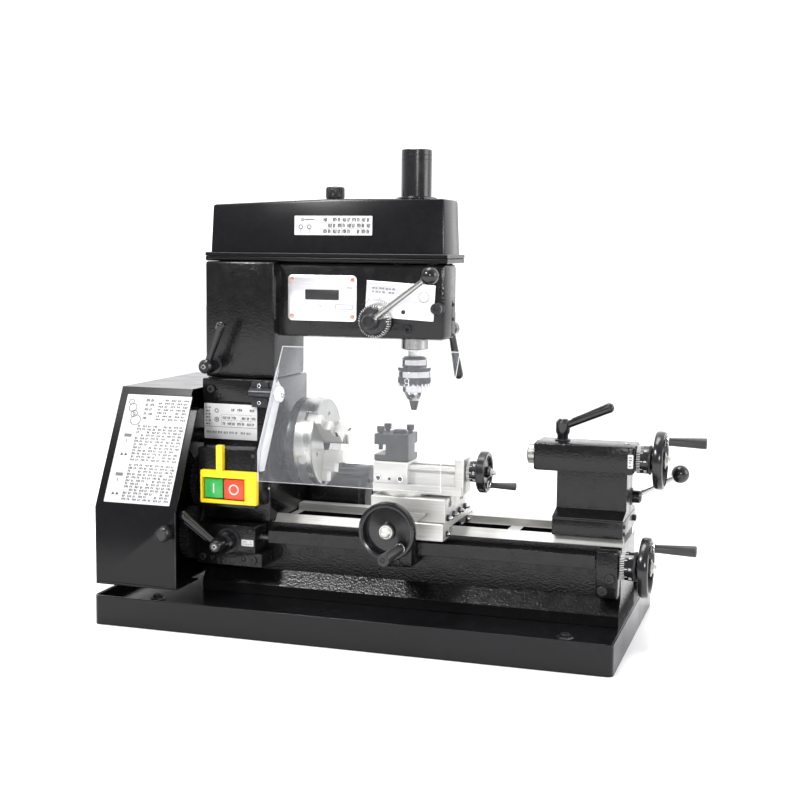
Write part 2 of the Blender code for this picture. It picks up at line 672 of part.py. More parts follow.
def tool_post():
    """Tool post with a slot at the headstock side and one at the back, and clamp screws."""
    x0, x1 = 6.0, 45.0
    y0, y1 = -48.0, -13.0
    block = box("tool_post", (x0, x1), (y0, y1), (183.8, 213.3))
    bevel(block, 0.8, 1)
    cut(block, box("tool_slot_left", (x0 - 9, 19), (y0 - 9, y1 + 9), (190.5, 201.5)),
        box("tool_slot_back", (x0 - 9, x1 + 9), (-23.5, y1 + 9), (190.5, 201.5)))
    for i, (x, y) in enumerate(((12, -43), (12, -18), (38, -18))):
        fuse(block, rod("post_screw_%d" % i, (x, y, 195.5), (x, y, 216), 2.5, sides=10),
             rod("post_screw_head_%d" % i, (x, y, 215), (x, y, 221), 4.2, sides=16))
    nut = turned("post_nut", "Z", (31, -34, 212), [(0, 217.5), (6, 217.5), (8, 216), (8, 212), (0, 212)],
                 steps=16)
    fuse(block, nut)
    set_origin(block, (25.5, TOP_Y, 183.8))
    paint(block, STEEL)


# ---------------------------------------------------------------- tailstock
def tailstock():
    base = box("tailstock_base", (201, 276.5), (BED_FRONT, 58), (WAY_TOP + GAP, 131))
    bevel(base, 1.5)
    paint(base, CAST)
    y = AXIS_Y
    outline = [(y - 22.5, 182), (y - 22.5, 139), (y - 46, 133), (y - 46, 131.3), (y + 46, 131.3),
               (y + 46, 133), (y + 22.5, 139), (y + 22.5, 182)]
    neck = prism_x("tailstock_body", outline, (201, 276))
    barrel = bevel(box("tail_barrel", (174.5, 282.5), (y - 23, y + 23), (177.5, 208)), 3.0, 2)
    fuse(neck, barrel)
    axis = (y, AXIS_Z)
    cut(neck, rod("tail_bore", (160, *axis), (270, *axis), 11.3, sides=SEG),
        rod("tail_screw_bore", (260, *axis), (290, *axis), 4.3),
        rod("tail_clamp_hole", (202, y, 198), (202, y, 215), 3.3))
    paint(neck, CAST)


def tailstock_quill():
    origin = (200, AXIS_Y, AXIS_Z)
    profile = [(4.4, 262), (11, 262), (11, 166), (10, 165), (6, 165), (4.4, 195)]
    paint(turned("tailstock_quill", "X", origin, profile, closed=True), STEEL)


def tailstock_feed():
    origin = (283, AXIS_Y, AXIS_Z)
    pin = (0, AXIS_Y, AXIS_Z + 20.5)
    wheel = wheel_with_pin("tailstock_handwheel", "X", origin, 313, 1, 3.0, 15, 12.7, 5, pin)
    profile = [(0, 312), (4, 312), (4, 205), (0, 205)]
    fuse(wheel, turned("tailstock_screw", "X", origin, profile, steps=16))
    grip = (313.3, AXIS_Y, AXIS_Z + 20.5)
    paint(turned("tailstock_handle", "X", grip, handle_profile(313.3, 42, 1, 6), steps=16), PLASTIC)


def quill_clamp_lever():
    y = AXIS_Y
    hub = turned("quill_clamp_lever", "Z", (202, y, 208),
                 [(0, 232), (5, 231.5), (8, 228), (8, 218), (6, 214), (6, 208.4), (3, 208.4),
                  (3, 204), (0, 204)], steps=16)
    tip = (252, y - 3, 246)
    fuse(hub, rod("clamp_arm", (204, y, 224), tip, 4.0, 5.5, sides=12), ball("clamp_end", tip, 5.6))
    paint(hub, PLASTIC)


def tailstock_lock_lever():
    pivot = (276.4, 25, 149)
    hub = turned("tailstock_lock_lever", "X", pivot,
                 [(0, 288), (5, 287), (7, 285), (7, 276.4), (0, 276.4)], steps=16)
    tip = (325, 48, 172.6)
    fuse(hub, rod("lock_arm", (281, 26, 150), tip, 3.0, sides=12),
         ball("lock_ball", tip, 10, sides=16, rings=10))
    paint(hub, PLASTIC)


# ---------------------------------------------------------------- drill head pieces
def mill_quill():
    origin = (DRILL_X, AXIS_Y, 302)
    profile = [(6.3, 384), (15, 384), (15, 302.8), (14.2, 302), (6.3, 302)]
    paint(turned("mill_quill", "Z", origin, profile, closed=True), BLUED)


def drill_spindle():
    origin = (DRILL_X, AXIS_Y, 302)
    profile = [(0, 505), (5, 505), (6, 503), (6, 301.7), (7.25, 301.7), (7.25, 294.3), (5.4, 294.3),
               (4.8, 281), (0, 281)]
    paint(turned("drill_spindle", "Z", origin, profile, steps=24), STEEL)


def drill_chuck():
    origin = (DRILL_X, AXIS_Y, 294)
    profile = [(0, 280.6), (5.8, 280.6), (5.8, 294), (11, 294), (14.2, 291.5), (14.2, 283), (18, 282),
               (18, 264), (16.5, 262.5), (13.3, 261.5), (12.4, 253), (8.6, 246.5), (5.8, 244.5),
               (3.2, 234), (0, 233)]
    paint(turned("drill_chuck", "Z", origin, profile, steps=24), CHROME)


def quill_feed_lever():
    origin = (FEED_X, -22, FEED_Z)
    profile = [(0, -48), (7, -47), (9, -44), (9, -34), (14, -33), (18, -28.5), (18, -18.4),
               (5.9, -18.4), (5.9, 2.2), (19.4, 2.2), (19.4, 19.8), (0, 19.8)]
    hub = turned("quill_feed_lever", "F", origin, profile)
    tip = (70, -60, 385)
    fuse(hub, rod("feed_rod", (FEED_X - 4, -39, FEED_Z - 2.5), tip, 3.0, sides=12),
         ball("feed_ball", tip, 10, sides=16, rings=10))
    paint(hub, BLUED)


def belt_cover():
    """Drafted lid with a flat rim, slightly lower at the motor end."""
    flange = box("belt_cover", (-205.5, 79.6), (AXIS_Y - 36, AXIS_Y + 36), (397.3, 403))
    bevel(flange, 1.2, 1)

    def shell(name, inset, low, drop):
        side = 31.5 - inset
        draft = 2.5
        left, right = -201.5 + inset, 75.6 - inset
        top = 467.0 - drop
        end = 461.0 - drop
        y0, y1 = AXIS_Y - side, AXIS_Y + side
        verts = [(left, y0, low), (right, y0, low), (right, y1, low), (left, y1, low),
                 (left + draft, y0 + draft, end), (-55, y0 + draft, top), (right - draft, y0 + draft, top),
                 (right - draft, y1 - draft, top), (-55, y1 - draft, top), (left + draft, y1 - draft, end)]
        faces = [(3, 2, 1, 0), (4, 5, 8, 9), (5, 6, 7, 8), (0, 1, 6, 5, 4), (1, 2, 7, 6),
                 (2, 3, 9, 8, 7), (3, 0, 4, 9)]
        return add_mesh(name, verts, faces, (0, 0, 0))
    lid = bevel(shell("cover_lid", 0.0, 400.0, 0.0), 3.0, 2, 40.0)
    fuse(flange, lid)
    cut(flange, shell("cover_hollow", 2.5, 390.0, 2.5),
        rod("cover_stud_hole", (KNOB_X, AXIS_Y, 450), (KNOB_X, AXIS_Y, 480), 3.4),
        rod("cover_spindle_hole", (DRILL_X, AXIS_Y, 455), (DRILL_X, AXIS_Y, 480), 9.0, sides=24))
    paint(flange, SHEET)


def belt_cover_fittings():
    origin = (KNOB_X, AXIS_Y, 467.3)
    profile = [(0, 480.8), (9.6, 480.8), (10.4, 480), (10.4, 468.2), (9.8, 467.6), (3.4, 467.6),
               (3.4, 475), (0, 475)]
    paint(turned("belt_cover_knob", "Z", origin, profile, steps=24), PLASTIC)
    origin = (DRILL_X, AXIS_Y, 467.3)
    profile = [(0, 521), (16.2, 521), (17, 520), (17, 470), (20.4, 469.4), (20.4, 467.3),
               (14.4, 467.3), (14.4, 518.5), (0, 518.5)]
    paint(turned("spindle_cover_tube", "Z", origin, profile), PLASTIC)


# ---------------------------------------------------------------- covers, switch and levers
def gear_cover():
    front, rear, low, bend, top = -130.0, 122.0, 41.0, 127.5, 254.6
    slope = -65.0
    outline = [(front, low), (rear, low), (rear, top), (slope, top), (front, bend)]
    w = 1.6
    inner = [(front + w, low + w), (rear - w, low + w), (rear - w, top - w), (slope + w * 0.7, top - w),
             (front + w, bend - w * 0.4)]
    cover = prism_x("gear_cover", outline, (-290, -192))
    cut(cover, prism_x("gear_cover_hollow", inner, (-288.4, -190)),
        box("gear_cover_notch", (-202.5, -180), (-76, 73), (30, 270)))
    cut(cover, rod("cover_knob_hole", (-202, -140, 105), (-202, -120, 105), 3.2))
    paint(cover, SHEET)


def gear_cover_knob():
    origin = (-202, -130.3, 105)
    profile = [(0, -146), (7, -145.4), (8.5, -143), (8.5, -136), (6.5, -134), (6.5, -130.3),
               (2.8, -130.3), (2.8, -121), (0, -121)]
    paint(turned("gear_cover_knob", "F", origin, profile, steps=24), PLASTIC)


def switch():
    block = box("switch_box", (-188, -118.5), (-83.6, HEAD_Y[0] - GAP), (127, 193))
    bevel(block, 2.0)
    for name, x in (("green", (-177.6, -154.6)), ("red", (-153.6, -128.6))):
        cut(block, box("well_" + name, x, (-90, -76), (137.6, 160.4)))
    paint(block, CAST)
    frame = box("switch_frame", (-181.4, -114), (-92, -83.9), (132.5, 169.2))
    bevel(frame, 1.5)
    prong = box("frame_prong", (-162, -154.6), (-91.5, -84.4), (167.5, 197))
    fuse(frame, prong)
    cut(frame, box("frame_window", (-178.4, -127.8), (-100, -70), (136.8, 161.4)))
    paint(frame, YELLOW)
    green = box("start_button", (-177, -155.2), (-89, -78.5), (138, 160))
    paint(bevel(green, 1.2), GREEN)
    red = box("stop_button", (-153, -129.2), (-91, -78.5), (138, 160))
    paint(bevel(red, 1.2), RED)


def column_lever():
    origin = (-190, -35, 280)
    profile = [(0, -64), (6, -63), (8, -60), (8, -46), (6, -44), (6, -35.4), (0, -35.4)]
    hub = turned("column_lever", "F", origin, profile, steps=16)
    tip = (-170, -60, 326)
    fuse(hub, rod("column_arm", (-190, -54, 282), tip, 3.6, 5.2, sides=12),
         ball("column_end", tip, 5.3))
    paint(hub, PLASTIC)


def feed_lever():
    origin = (-158, -70, 87)
    profile = [(0, -106), (6, -105), (8.5, -101), (8.5, -86), (11, -84), (11, -70.4), (5, -70.4),
               (5, -57), (0, -57)]
    hub = turned("feed_lever", "F", origin, profile, steps=16)
    tip = (-192, -112, 121)
    fuse(hub, rod("feed_arm", (-160, -96, 88), tip, 3.8, 5.6, sides=12), ball("feed_end", tip, 5.7))
    paint(hub, PLASTIC)


def head_clamp_lever():
    back = ARM_Y[1]
    origin = (66, back, 324)
    profile = [(0, back + GAP), (6, back + GAP), (6, back + 6), (8, back + 9), (8, back + 20),
               (5, back + 24), (0, back + 24)]
    hub = turned("head_clamp_lever", "F", origin, profile, steps=16)
    tip = (72, back + 26, 271)
    fuse(hub, rod("clamp_rear_arm", (66, back + 14, 322), tip, 3.6, 5.2, sides=12),
         ball("clamp_rear_end", tip, 5.3))
    paint(hub, PLASTIC)


GUARD_PIVOT = (-52.5, 252.0)


def chuck_guard():
    y, z = GUARD_PIVOT
    bracket = turned("guard_bracket", "X", (-117, y, z),
                     [(0, -100), (5.7, -100), (5.7, -105.6), (3.5, -105.6), (3.5, -109.4),
                      (6.0, -109.4), (6.0, -138), (0, -138)], steps=16)
    fuse(bracket, box("bracket_plate", (-138, -119), (-49.5, HEAD_Y[0] - GAP), (236, 264)))
    paint(bracket, BLUED)
    t = 3.0
    slope = math.atan2(304 - 195, -30 + 100)
    s, c = math.sin(slope) * t, math.cos(slope) * t
    k = t * math.tan((math.pi / 2 - slope) / 2)
    outline = [(-100, 162), (-100 + t, 162), (-100 + t, 195 - k), (-30 + s, 304 - c), (-30, 304),
               (-100, 195)]
    sheet = prism_x("chuck_guard", outline, (-109, 96))
    tab = [(-98.6, 196), (-95, 172), (-88, 172), (y + 3, z - 16), (y + 11, z - 4), (y + 11, z + 8),
           (y + 2, z + 16), (-46, 282)]
    fuse(sheet, prism_x("guard_tab", tab, (-109, -106)))
    cut(sheet, rod("guard_hole", (-115, y, z), (-100, y, z), 3.8, sides=20))
    set_origin(sheet, (-107.5, y, z))
    paint(sheet, CLEAR)


# ---------------------------------------------------------------- assembly
for build in (chip_tray, bed, leadscrew_guard, end_bracket, headstock, mill_head, motor, motor_pulley,
              head_shaft, spindle_pulley, belts, spindle, chuck_backplate, chuck_body, chuck_jaws,
              change_gears, gear_banjo, leadscrew, leadscrew_wheel, feed_gearbox, saddle,
              leadscrew_nut, cross_slide, cross_feed, compound_base, top_slide, top_feed, tool_post,
              tailstock, tailstock_quill, tailstock_feed, quill_clamp_lever, tailstock_lock_lever,
              mill_quill, drill_spindle, drill_chuck, quill_feed_lever, belt_cover,
              belt_cover_fittings, gear_cover, gear_cover_knob, switch, column_lever, feed_lever,
              head_clamp_lever, chuck_guard):
    build()
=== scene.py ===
"""Looks of the small combination bench lathe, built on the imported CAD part."""
import json
import math

import bmesh
import bpy
from mathutils import Matrix, Vector


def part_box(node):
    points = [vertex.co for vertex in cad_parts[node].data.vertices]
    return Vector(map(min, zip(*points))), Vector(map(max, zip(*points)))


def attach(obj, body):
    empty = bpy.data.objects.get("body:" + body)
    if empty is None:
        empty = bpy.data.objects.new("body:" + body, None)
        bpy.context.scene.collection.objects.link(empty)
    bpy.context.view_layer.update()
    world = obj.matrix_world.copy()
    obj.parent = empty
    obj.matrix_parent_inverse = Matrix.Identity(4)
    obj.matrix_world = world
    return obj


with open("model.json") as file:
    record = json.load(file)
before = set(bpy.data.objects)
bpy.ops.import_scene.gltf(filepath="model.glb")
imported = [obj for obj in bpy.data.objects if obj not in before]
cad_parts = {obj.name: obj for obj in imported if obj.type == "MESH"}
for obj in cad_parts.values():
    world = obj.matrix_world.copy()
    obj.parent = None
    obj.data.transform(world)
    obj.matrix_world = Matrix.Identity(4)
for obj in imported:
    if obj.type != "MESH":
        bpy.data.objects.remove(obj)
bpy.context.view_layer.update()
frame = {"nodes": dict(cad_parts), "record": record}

NODES = frame["nodes"]
MM = 0.001
SHARP_ANGLE = 32.0
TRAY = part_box("chip_tray")
# lengths below are millimetres from this point on the floor, as in the CAD part
TRAY_LEFT = -284.0
ORIGIN = Vector((TRAY[0].x - TRAY_LEFT * MM, (TRAY[0].y + TRAY[1].y) / 2, 0.0))


def at(x, y, z):
    return ORIGIN + Vector((x, y, z)) * MM


def low_corner(node):
    """Left, front, bottom corner of a CAD node's box."""
    return (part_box(node)[0] - ORIGIN) / MM


def high_corner(node):
    """Right, back, top corner of a CAD node's box."""
    return (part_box(node)[1] - ORIGIN) / MM


def middle(node):
    return (low_corner(node) + high_corner(node)) / 2


# the lathe's axis runs along X, the drill's along Z
AXIS_Y = middle("chuck_body").y
AXIS_Z = middle("chuck_body").z
DRILL_X = middle("drill_chuck").x
# faces and axes that carry screws, plates and dials
HEAD_FRONT = low_corner("headstock").y
HEAD_RIGHT = high_corner("headstock").x
GEARBOX_FRONT = low_corner("feed_gearbox").y
BRACKET_FRONT = low_corner("end_bracket").y
ARM_FRONT = -18.0
ARM_RIGHT = high_corner("mill_head").x
CHUCK_FACE = high_corner("chuck_body").x
CHUCK_BACK = low_corner("chuck_backplate").x
TAIL_RIGHT = high_corner("tailstock_base").x
MOTOR_Y = middle("motor_pulley").y
MOTOR_Z = middle("motor_pulley").z
# axis of the quill feed, and the jaws' directions round the lathe's axis in degrees
FEED_X = -2.0
FEED_Z = 334.0
JAW_ANGLES = (137.0, 257.0, 17.0)


# ---------------------------------------------------------------- materials
FINISHES = {}


def finish(name, base, metallic=0.0, rough=0.4, vary=0.2, grain=300.0, bump=0.15, bump_scale=600.0,
           depth=0.0003, stretch=(1, 1, 1), rough_vary=0.08, edge=0.0, alpha=1.0, specular=0.5):
    """Surface with its own grain, uneven gloss and fine relief, all from noise in object space."""
    mat = bpy.data.materials.new(name)
    mat.use_nodes = True
    tree = mat.node_tree
    shader = tree.nodes["Principled BSDF"]
    shader.inputs["Metallic"].default_value = metallic
    shader.inputs["Alpha"].default_value = alpha
    shader.inputs["Specular IOR Level"].default_value = specular
    coord = tree.nodes.new("ShaderNodeTexCoord")
    mapping = tree.nodes.new("ShaderNodeMapping")
    mapping.inputs["Scale"].default_value = stretch
    tree.links.new(coord.outputs["Object"], mapping.inputs["Vector"])

    def noise(scale, detail):
        node = tree.nodes.new("ShaderNodeTexNoise")
        node.inputs["Scale"].default_value = scale
        node.inputs["Detail"].default_value = detail
        tree.links.new(mapping.outputs["Vector"], node.inputs["Vector"])
        return node.outputs["Fac"]

    def remap(source, low, high):
        node = tree.nodes.new("ShaderNodeMapRange")
        node.inputs["From Min"].default_value = 0.3
        node.inputs["From Max"].default_value = 0.7
        node.inputs["To Min"].default_value = low
        node.inputs["To Max"].default_value = high
        tree.links.new(source, node.inputs["Value"])
        return node.outputs["Result"]

    mix = tree.nodes.new("ShaderNodeMix")
    mix.data_type = "RGBA"
    mix.inputs["A"].default_value = (*[max(0.0, c * (1 - vary)) for c in base], 1)
    mix.inputs["B"].default_value = (*[min(1.0, c * (1 + vary)) for c in base], 1)
    tree.links.new(remap(noise(grain, 4.0), 0.0, 1.0), mix.inputs["Factor"])
    tree.links.new(mix.outputs["Result"], shader.inputs["Base Color"])
    tree.links.new(remap(noise(grain * 0.2, 3.0), rough - rough_vary, rough + rough_vary),
                   shader.inputs["Roughness"])
    relief = tree.nodes.new("ShaderNodeBump")
    relief.inputs["Strength"].default_value = bump
    relief.inputs["Distance"].default_value = depth
    tree.links.new(noise(bump_scale, 2.0), relief.inputs["Height"])
    if edge:
        soft = tree.nodes.new("ShaderNodeBevel")
        soft.samples = 4
        soft.inputs["Radius"].default_value = edge
        tree.links.new(soft.outputs["Normal"], relief.inputs["Normal"])
    tree.links.new(relief.outputs["Normal"], shader.inputs["Normal"])
    FINISHES[name] = mat
    return mat


finish("cast_black", (0.0055, 0.0055, 0.006), rough=0.20, vary=0.35, grain=420, bump=0.42, bump_scale=430,
       depth=0.0007, edge=0.0007, specular=0.34)
finish("sheet_black", (0.0050, 0.0050, 0.0058), rough=0.24, vary=0.25, grain=160, bump=0.12,
       bump_scale=700, depth=0.0002, edge=0.0006, specular=0.24, rough_vary=0.025)
finish("ground_steel", (0.60, 0.595, 0.57), 0.72, 0.46, vary=0.10, grain=60, bump=0.10, bump_scale=90,
       depth=0.0002, stretch=(0.35, 9, 9), rough_vary=0.12, edge=0.0004)
finish("dark_steel", (0.030, 0.030, 0.030), 0.6, 0.38, vary=0.25, grain=220, bump=0.15, bump_scale=900,
       edge=0.0004)
finish("turned_steel", (0.38, 0.38, 0.37), 1.0, 0.28, vary=0.08, grain=50, bump=0.08, bump_scale=60,
       depth=0.0002, stretch=(12, 1, 1), edge=0.0004)
finish("chromed_steel", (0.62, 0.62, 0.64), 1.0, 0.12, vary=0.04, grain=90, bump=0.03, bump_scale=300,
       rough_vary=0.03, edge=0.0003)
finish("blackened_steel", (0.035, 0.035, 0.038), 0.6, 0.34, vary=0.3, grain=260, bump=0.12,
       bump_scale=1200, edge=0.0004)
finish("black_plastic", (0.008, 0.008, 0.009), rough=0.20, vary=0.2, grain=200, bump=0.05,
       bump_scale=2500, depth=0.0001, edge=0.0005)
finish("grip_plastic", (0.014, 0.014, 0.015), rough=0.40, vary=0.25, grain=240, bump=0.15,
       bump_scale=1800, depth=0.0002, edge=0.0005)
for colour, base, rough, vary, grain in (("yellow", (0.86, 0.62, 0.01), 0.30, 0.06, 120),
                                         ("green", (0.03, 0.36, 0.07), 0.28, 0.10, 150),
                                         ("red", (0.80, 0.06, 0.02), 0.28, 0.10, 150)):
    finish(colour + "_plastic", base, rough=rough, vary=vary, grain=grain, bump=0.05, bump_scale=1500,
           depth=0.0001, edge=0.0005)
finish("clear_acrylic", (0.72, 0.74, 0.78), rough=0.06, vary=0.03, grain=40, bump=0.02, bump_scale=120,
       depth=0.0001, rough_vary=0.03, alpha=0.05)
# painted highlight: a whiter, less clear finish that stands for the light glinting on the clear guard's side
# wings and edges
finish("acrylic_painted_glint", (0.90, 0.91, 0.94), rough=0.15, vary=0.03, grain=200, bump=0.05, bump_scale=900,
       alpha=0.72)
finish("frosted", (0.88, 0.88, 0.90), rough=0.30, vary=0.05, grain=200, bump=0.05, bump_scale=900,
       alpha=0.85)
finish("belt_rubber", (0.022, 0.022, 0.022), rough=0.75, vary=0.25, grain=500, bump=0.3, bump_scale=1600)
for shade, base, rough, vary, grain in (("white", (0.60, 0.60, 0.60), 0.4, 0.03, 120),
                                        ("ink", (0.012, 0.012, 0.013), 0.5, 0.3, 900),
                                        ("grey", (0.11, 0.11, 0.115), 0.5, 0.2, 900)):
    finish("label_" + shade, base, rough=rough, vary=vary, grain=grain, bump=0.03, bump_scale=900,
           depth=0.0001)
finish("aluminium", (0.80, 0.80, 0.82), 0.75, 0.36, vary=0.06, grain=70, bump=0.08, bump_scale=90,
       depth=0.0001, stretch=(0.4, 1, 9))
finish("copper", (0.70, 0.42, 0.34), 0.9, 0.30, vary=0.1, grain=300, bump=0.05, bump_scale=900)
finish("mark_white", (0.84, 0.84, 0.82), rough=0.5, vary=0.05, grain=600, bump=0.05, bump_scale=1500,
       depth=0.0001)


def dress_cad():
    """Each CAD node gets the finish of its slot and smooth round faces."""
    slots = {part["node"]: part["material_slot"] for part in frame["record"]["subparts"]}
    other = {"tool_post": "dark_steel"}
    for name in ("leadscrew", "tailstock_quill", "chuck_body", "spindle", "mill_quill", "head_shaft",
                 "spindle_pulley"):
        other[name] = "turned_steel"
    for name in ("leadscrew", "tailstock", "cross", "top"):
        other[name + "_handle"] = "grip_plastic"
    for name, obj in NODES.items():
        mesh = obj.data
        mesh.materials.clear()
        mesh.materials.append(FINISHES[other.get(name, slots.get(name, "cast_black"))])
        if "custom_normal" in mesh.attributes:
            mesh.attributes.remove(mesh.attributes["custom_normal"])
        mesh.polygons.foreach_set("use_smooth", [True] * len(mesh.polygons))
        weld = obj.modifiers.new("weld", "WELD")
        weld.merge_threshold = 0.002 * MM
        split = obj.modifiers.new("split", "EDGE_SPLIT")
        split.split_angle = math.radians(SHARP_ANGLE)
        split.use_edge_sharp = False


def repaint(node, name, test):
    """Second finish on the faces of a CAD node whose middle passes the test, in millimetres."""
    mesh = NODES[node].data
    mesh.materials.append(FINISHES[name])
    last = len(mesh.materials) - 1
    for face in mesh.polygons:
        if test((face.center - ORIGIN) / MM, face.normal):
            face.material_index = last


# ---------------------------------------------------------------- shape helpers
# the two directions in a face that looks up, down, right, left, to the front and to the back
AXES = {
    "Z": (Vector((1, 0, 0)), Vector((0, 1, 0))),
    "D": (Vector((1, 0, 0)), Vector((0, -1, 0))),
    "X": (Vector((0, 1, 0)), Vector((0, 0, 1))),
    "L": (Vector((0, -1, 0)), Vector((0, 0, 1))),
    "F": (Vector((1, 0, 0)), Vector((0, 0, 1))),
    "B": (Vector((-1, 0, 0)), Vector((0, 0, 1))),
}


class Place:
    """Local axes: u and v in a face, n out of it, all in millimetres."""

    def __init__(self, origin, u, v):
        self.o = Vector(origin)
        self.u = Vector(u).normalized()
        self.n = self.u.cross(Vector(v)).normalized()
        self.v = self.n.cross(self.u)

    def __call__(self, a, b, c=0.0):
        return self.o + self.u * a + self.v * b + self.n * c

    def moved(self, a, b, c=0.0):
        return Place(self(a, b, c), self.u, self.v)


def facing(axis, *origin):
    """Place whose face looks along one of the AXES."""
    return Place(origin, *AXES[axis])


def around(count, radius, start=0.0):
    """Offsets of points spread evenly round a circle, the first one at start degrees."""
    for k in range(count):
        t = math.radians(start + 360 / count * k)
        yield radius * math.cos(t), radius * math.sin(t)


def outward(degrees):
    """Direction away from the lathe's axis, square to it."""
    t = math.radians(degrees)
    return Vector((0, math.cos(t), math.sin(t)))


def hexagon(flat):
    """Radius of a hexagon at each angle; flat is half its width across flats."""
    return lambda t: flat / math.cos((t % (math.pi / 3)) - math.pi / 6)


def waves(radius, rise, count):
    """Radius of a knurled or lobed edge at each angle."""
    return lambda t: radius + rise * math.cos(count * t)


class Shape:
    """Collects the faces of one piece."""

    def __init__(self):
        self.verts = []
        self.faces = []
        self.marks = []

    def add(self, verts, faces, m=0):
        """Faces of one finish; m is its place in the piece's list of finishes."""
        base = len(self.verts)
        self.verts += [tuple(v) for v in verts]
        self.faces += [tuple(base + i for i in face) for face in faces]
        self.marks += [m] * len(faces)

    def slab(self, p, a, b, c, m=0):
        """Block between two limits along each of the place's three directions."""
        verts = [p(x, y, z) for z in c for y in b for x in a]
        faces = [(0, 2, 3, 1), (4, 5, 7, 6), (0, 1, 5, 4), (2, 6, 7, 3), (0, 4, 6, 2), (1, 3, 7, 5)]
        self.add(verts, faces, m)

    def prism(self, p, outline, c, m=0):
        """Outline drawn out between two heights."""
        n = len(outline)
        verts = [p(x, y, z) for z in c for x, y in outline]
        faces = [tuple(reversed(range(n))), tuple(range(n, 2 * n))]
        faces += [(i, (i + 1) % n, n + (i + 1) % n, n + i) for i in range(n)]
        self.add(verts, faces, m)

    def plate(self, p, a, b, c, radius, m=0, lip=0.25):
        """Sheet with round corners and a small chamfer round its face."""
        def outline(inset):
            pts = []
            r = max(radius - inset, 0.05)
            for k, (cx, cy) in enumerate(((a[1], b[1]), (a[0], b[1]), (a[0], b[0]), (a[1], b[0]))):
                sx = 1 if cx == a[1] else -1
                sy = 1 if cy == b[1] else -1
                for i in range(4):
                    t = math.pi / 2 * (k + i / 3)
                    pts.append((cx - sx * (inset + r) + r * math.cos(t),
                                cy - sy * (inset + r) + r * math.sin(t)))
            return pts
        low, high = outline(0.0), outline(lip)
        n = len(low)
        verts = [p(x, y, c[0]) for x, y in low] + [p(x, y, c[1] - lip * 0.6) for x, y in low]
        verts += [p(x, y, c[1]) for x, y in high]
        faces = [tuple(reversed(range(n))), tuple(range(2 * n, 3 * n))]
        for k in (0, n):
            faces += [(k + i, k + (i + 1) % n, k + n + (i + 1) % n, k + n + i) for i in range(n)]
        self.add(verts, faces, m)

    def rings(self, p, rows, steps=32, m=0, start=0.0):
        """Turned shape from (radius, height) rows; a radius may be a function of the angle."""
        verts, index = [], []
        for r, h in rows:
            if not callable(r) and r == 0:
                index.append([len(verts)])
                verts.append(p(0, 0, h))
                continue
            index.append(range(len(verts), len(verts) + steps))
            for i in range(steps):
                t = start + 2 * math.pi * i / steps
                radius = r(t) if callable(r) else r
                verts.append(p(radius * math.cos(t), radius * math.sin(t), h))
        for k, (low, high) in enumerate(zip(index, index[1:])):
            faces = []
            for i in range(steps):
                j = (i + 1) % steps
                if len(low) == 1:
                    faces.append((low[0], high[j], high[i]))
                elif len(high) == 1:
                    faces.append((low[i], low[j], high[0]))
                else:
                    faces.append((low[i], low[j], high[j], high[i]))
            base = len(self.verts)
            self.faces += [tuple(base + q for q in face) for face in faces]
            self.marks += [m[k] if isinstance(m, (list, tuple)) else m] * len(faces)
        self.verts += [tuple(v) for v in verts]

    def loop(self, p, rows, steps=32, m=0):
        """Turned ring whose closed section is given by its rows."""
        self.rings(p, rows + rows[:1], steps, m)

    def ticks(self, p, radius, h, lengths, count, width, rise, start=0.0):
        """Graduation lines round a dial, running along its axis from height h."""
        for k in range(count):
            t = start + 2 * math.pi * k / count
            half = width / 2 / radius
            long = lengths[k % len(lengths)]
            pts = []
            for r in (radius - 0.3, radius + rise):
                for s, z in ((-half, h), (half, h), (half, h + long), (-half, h + long)):
                    pts.append(p(r * math.cos(t + s), r * math.sin(t + s), z))
            sides = [(0, 1, 5, 4), (1, 2, 6, 5), (2, 3, 7, 6), (3, 0, 4, 7)]
            self.add(pts, [(0, 3, 2, 1), (4, 5, 6, 7)] + sides)

    def screw(self, p, r, h, m=0, socket=0):
        """Cap screw head with a hexagon socket and a chamfered rim."""
        hexagonal = hexagon(r * 0.5)
        bottom = h - min(2.2, h * 0.7)
        rows = [(0, 0), (r, 0), (r, h - 0.5), (r - 0.5, h), (hexagonal, h), (hexagonal, bottom), (0, bottom)]
        self.rings(p, rows, 24, [m, m, m, m, socket, socket])

    def cross_slot(self, p, half, width, c, m):
        """Two crossed bars, the slot of a cross-head screw."""
        self.slab(p, (-half, half), (-width, width), c, m)
        self.slab(p, (-width, width), (-half, half), c, m)

    def make(self, name, finishes, body, slot=None):
        """The piece as an object that rides a CAD body; its slot argument is not used."""
        mesh = bpy.data.meshes.new(name)
        mesh.from_pydata([at(*v) for v in self.verts], [], self.faces)
        for name_of_finish in finishes:
            mesh.materials.append(FINISHES[name_of_finish])
        mesh.polygons.foreach_set("material_index", self.marks)
        work = bmesh.new()
        work.from_mesh(mesh)
        bmesh.ops.recalc_face_normals(work, faces=work.faces)
        work.to_mesh(mesh)
        work.free()
        mesh.polygons.foreach_set("use_smooth", [True] * len(mesh.polygons))
        mesh.set_sharp_from_angle(angle=math.radians(SHARP_ANGLE))
        obj = bpy.data.objects.new(name, mesh)
        bpy.context.scene.collection.objects.link(obj)
        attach(obj, body)
        slot = slot or finishes[0]


GLYPHS = {}


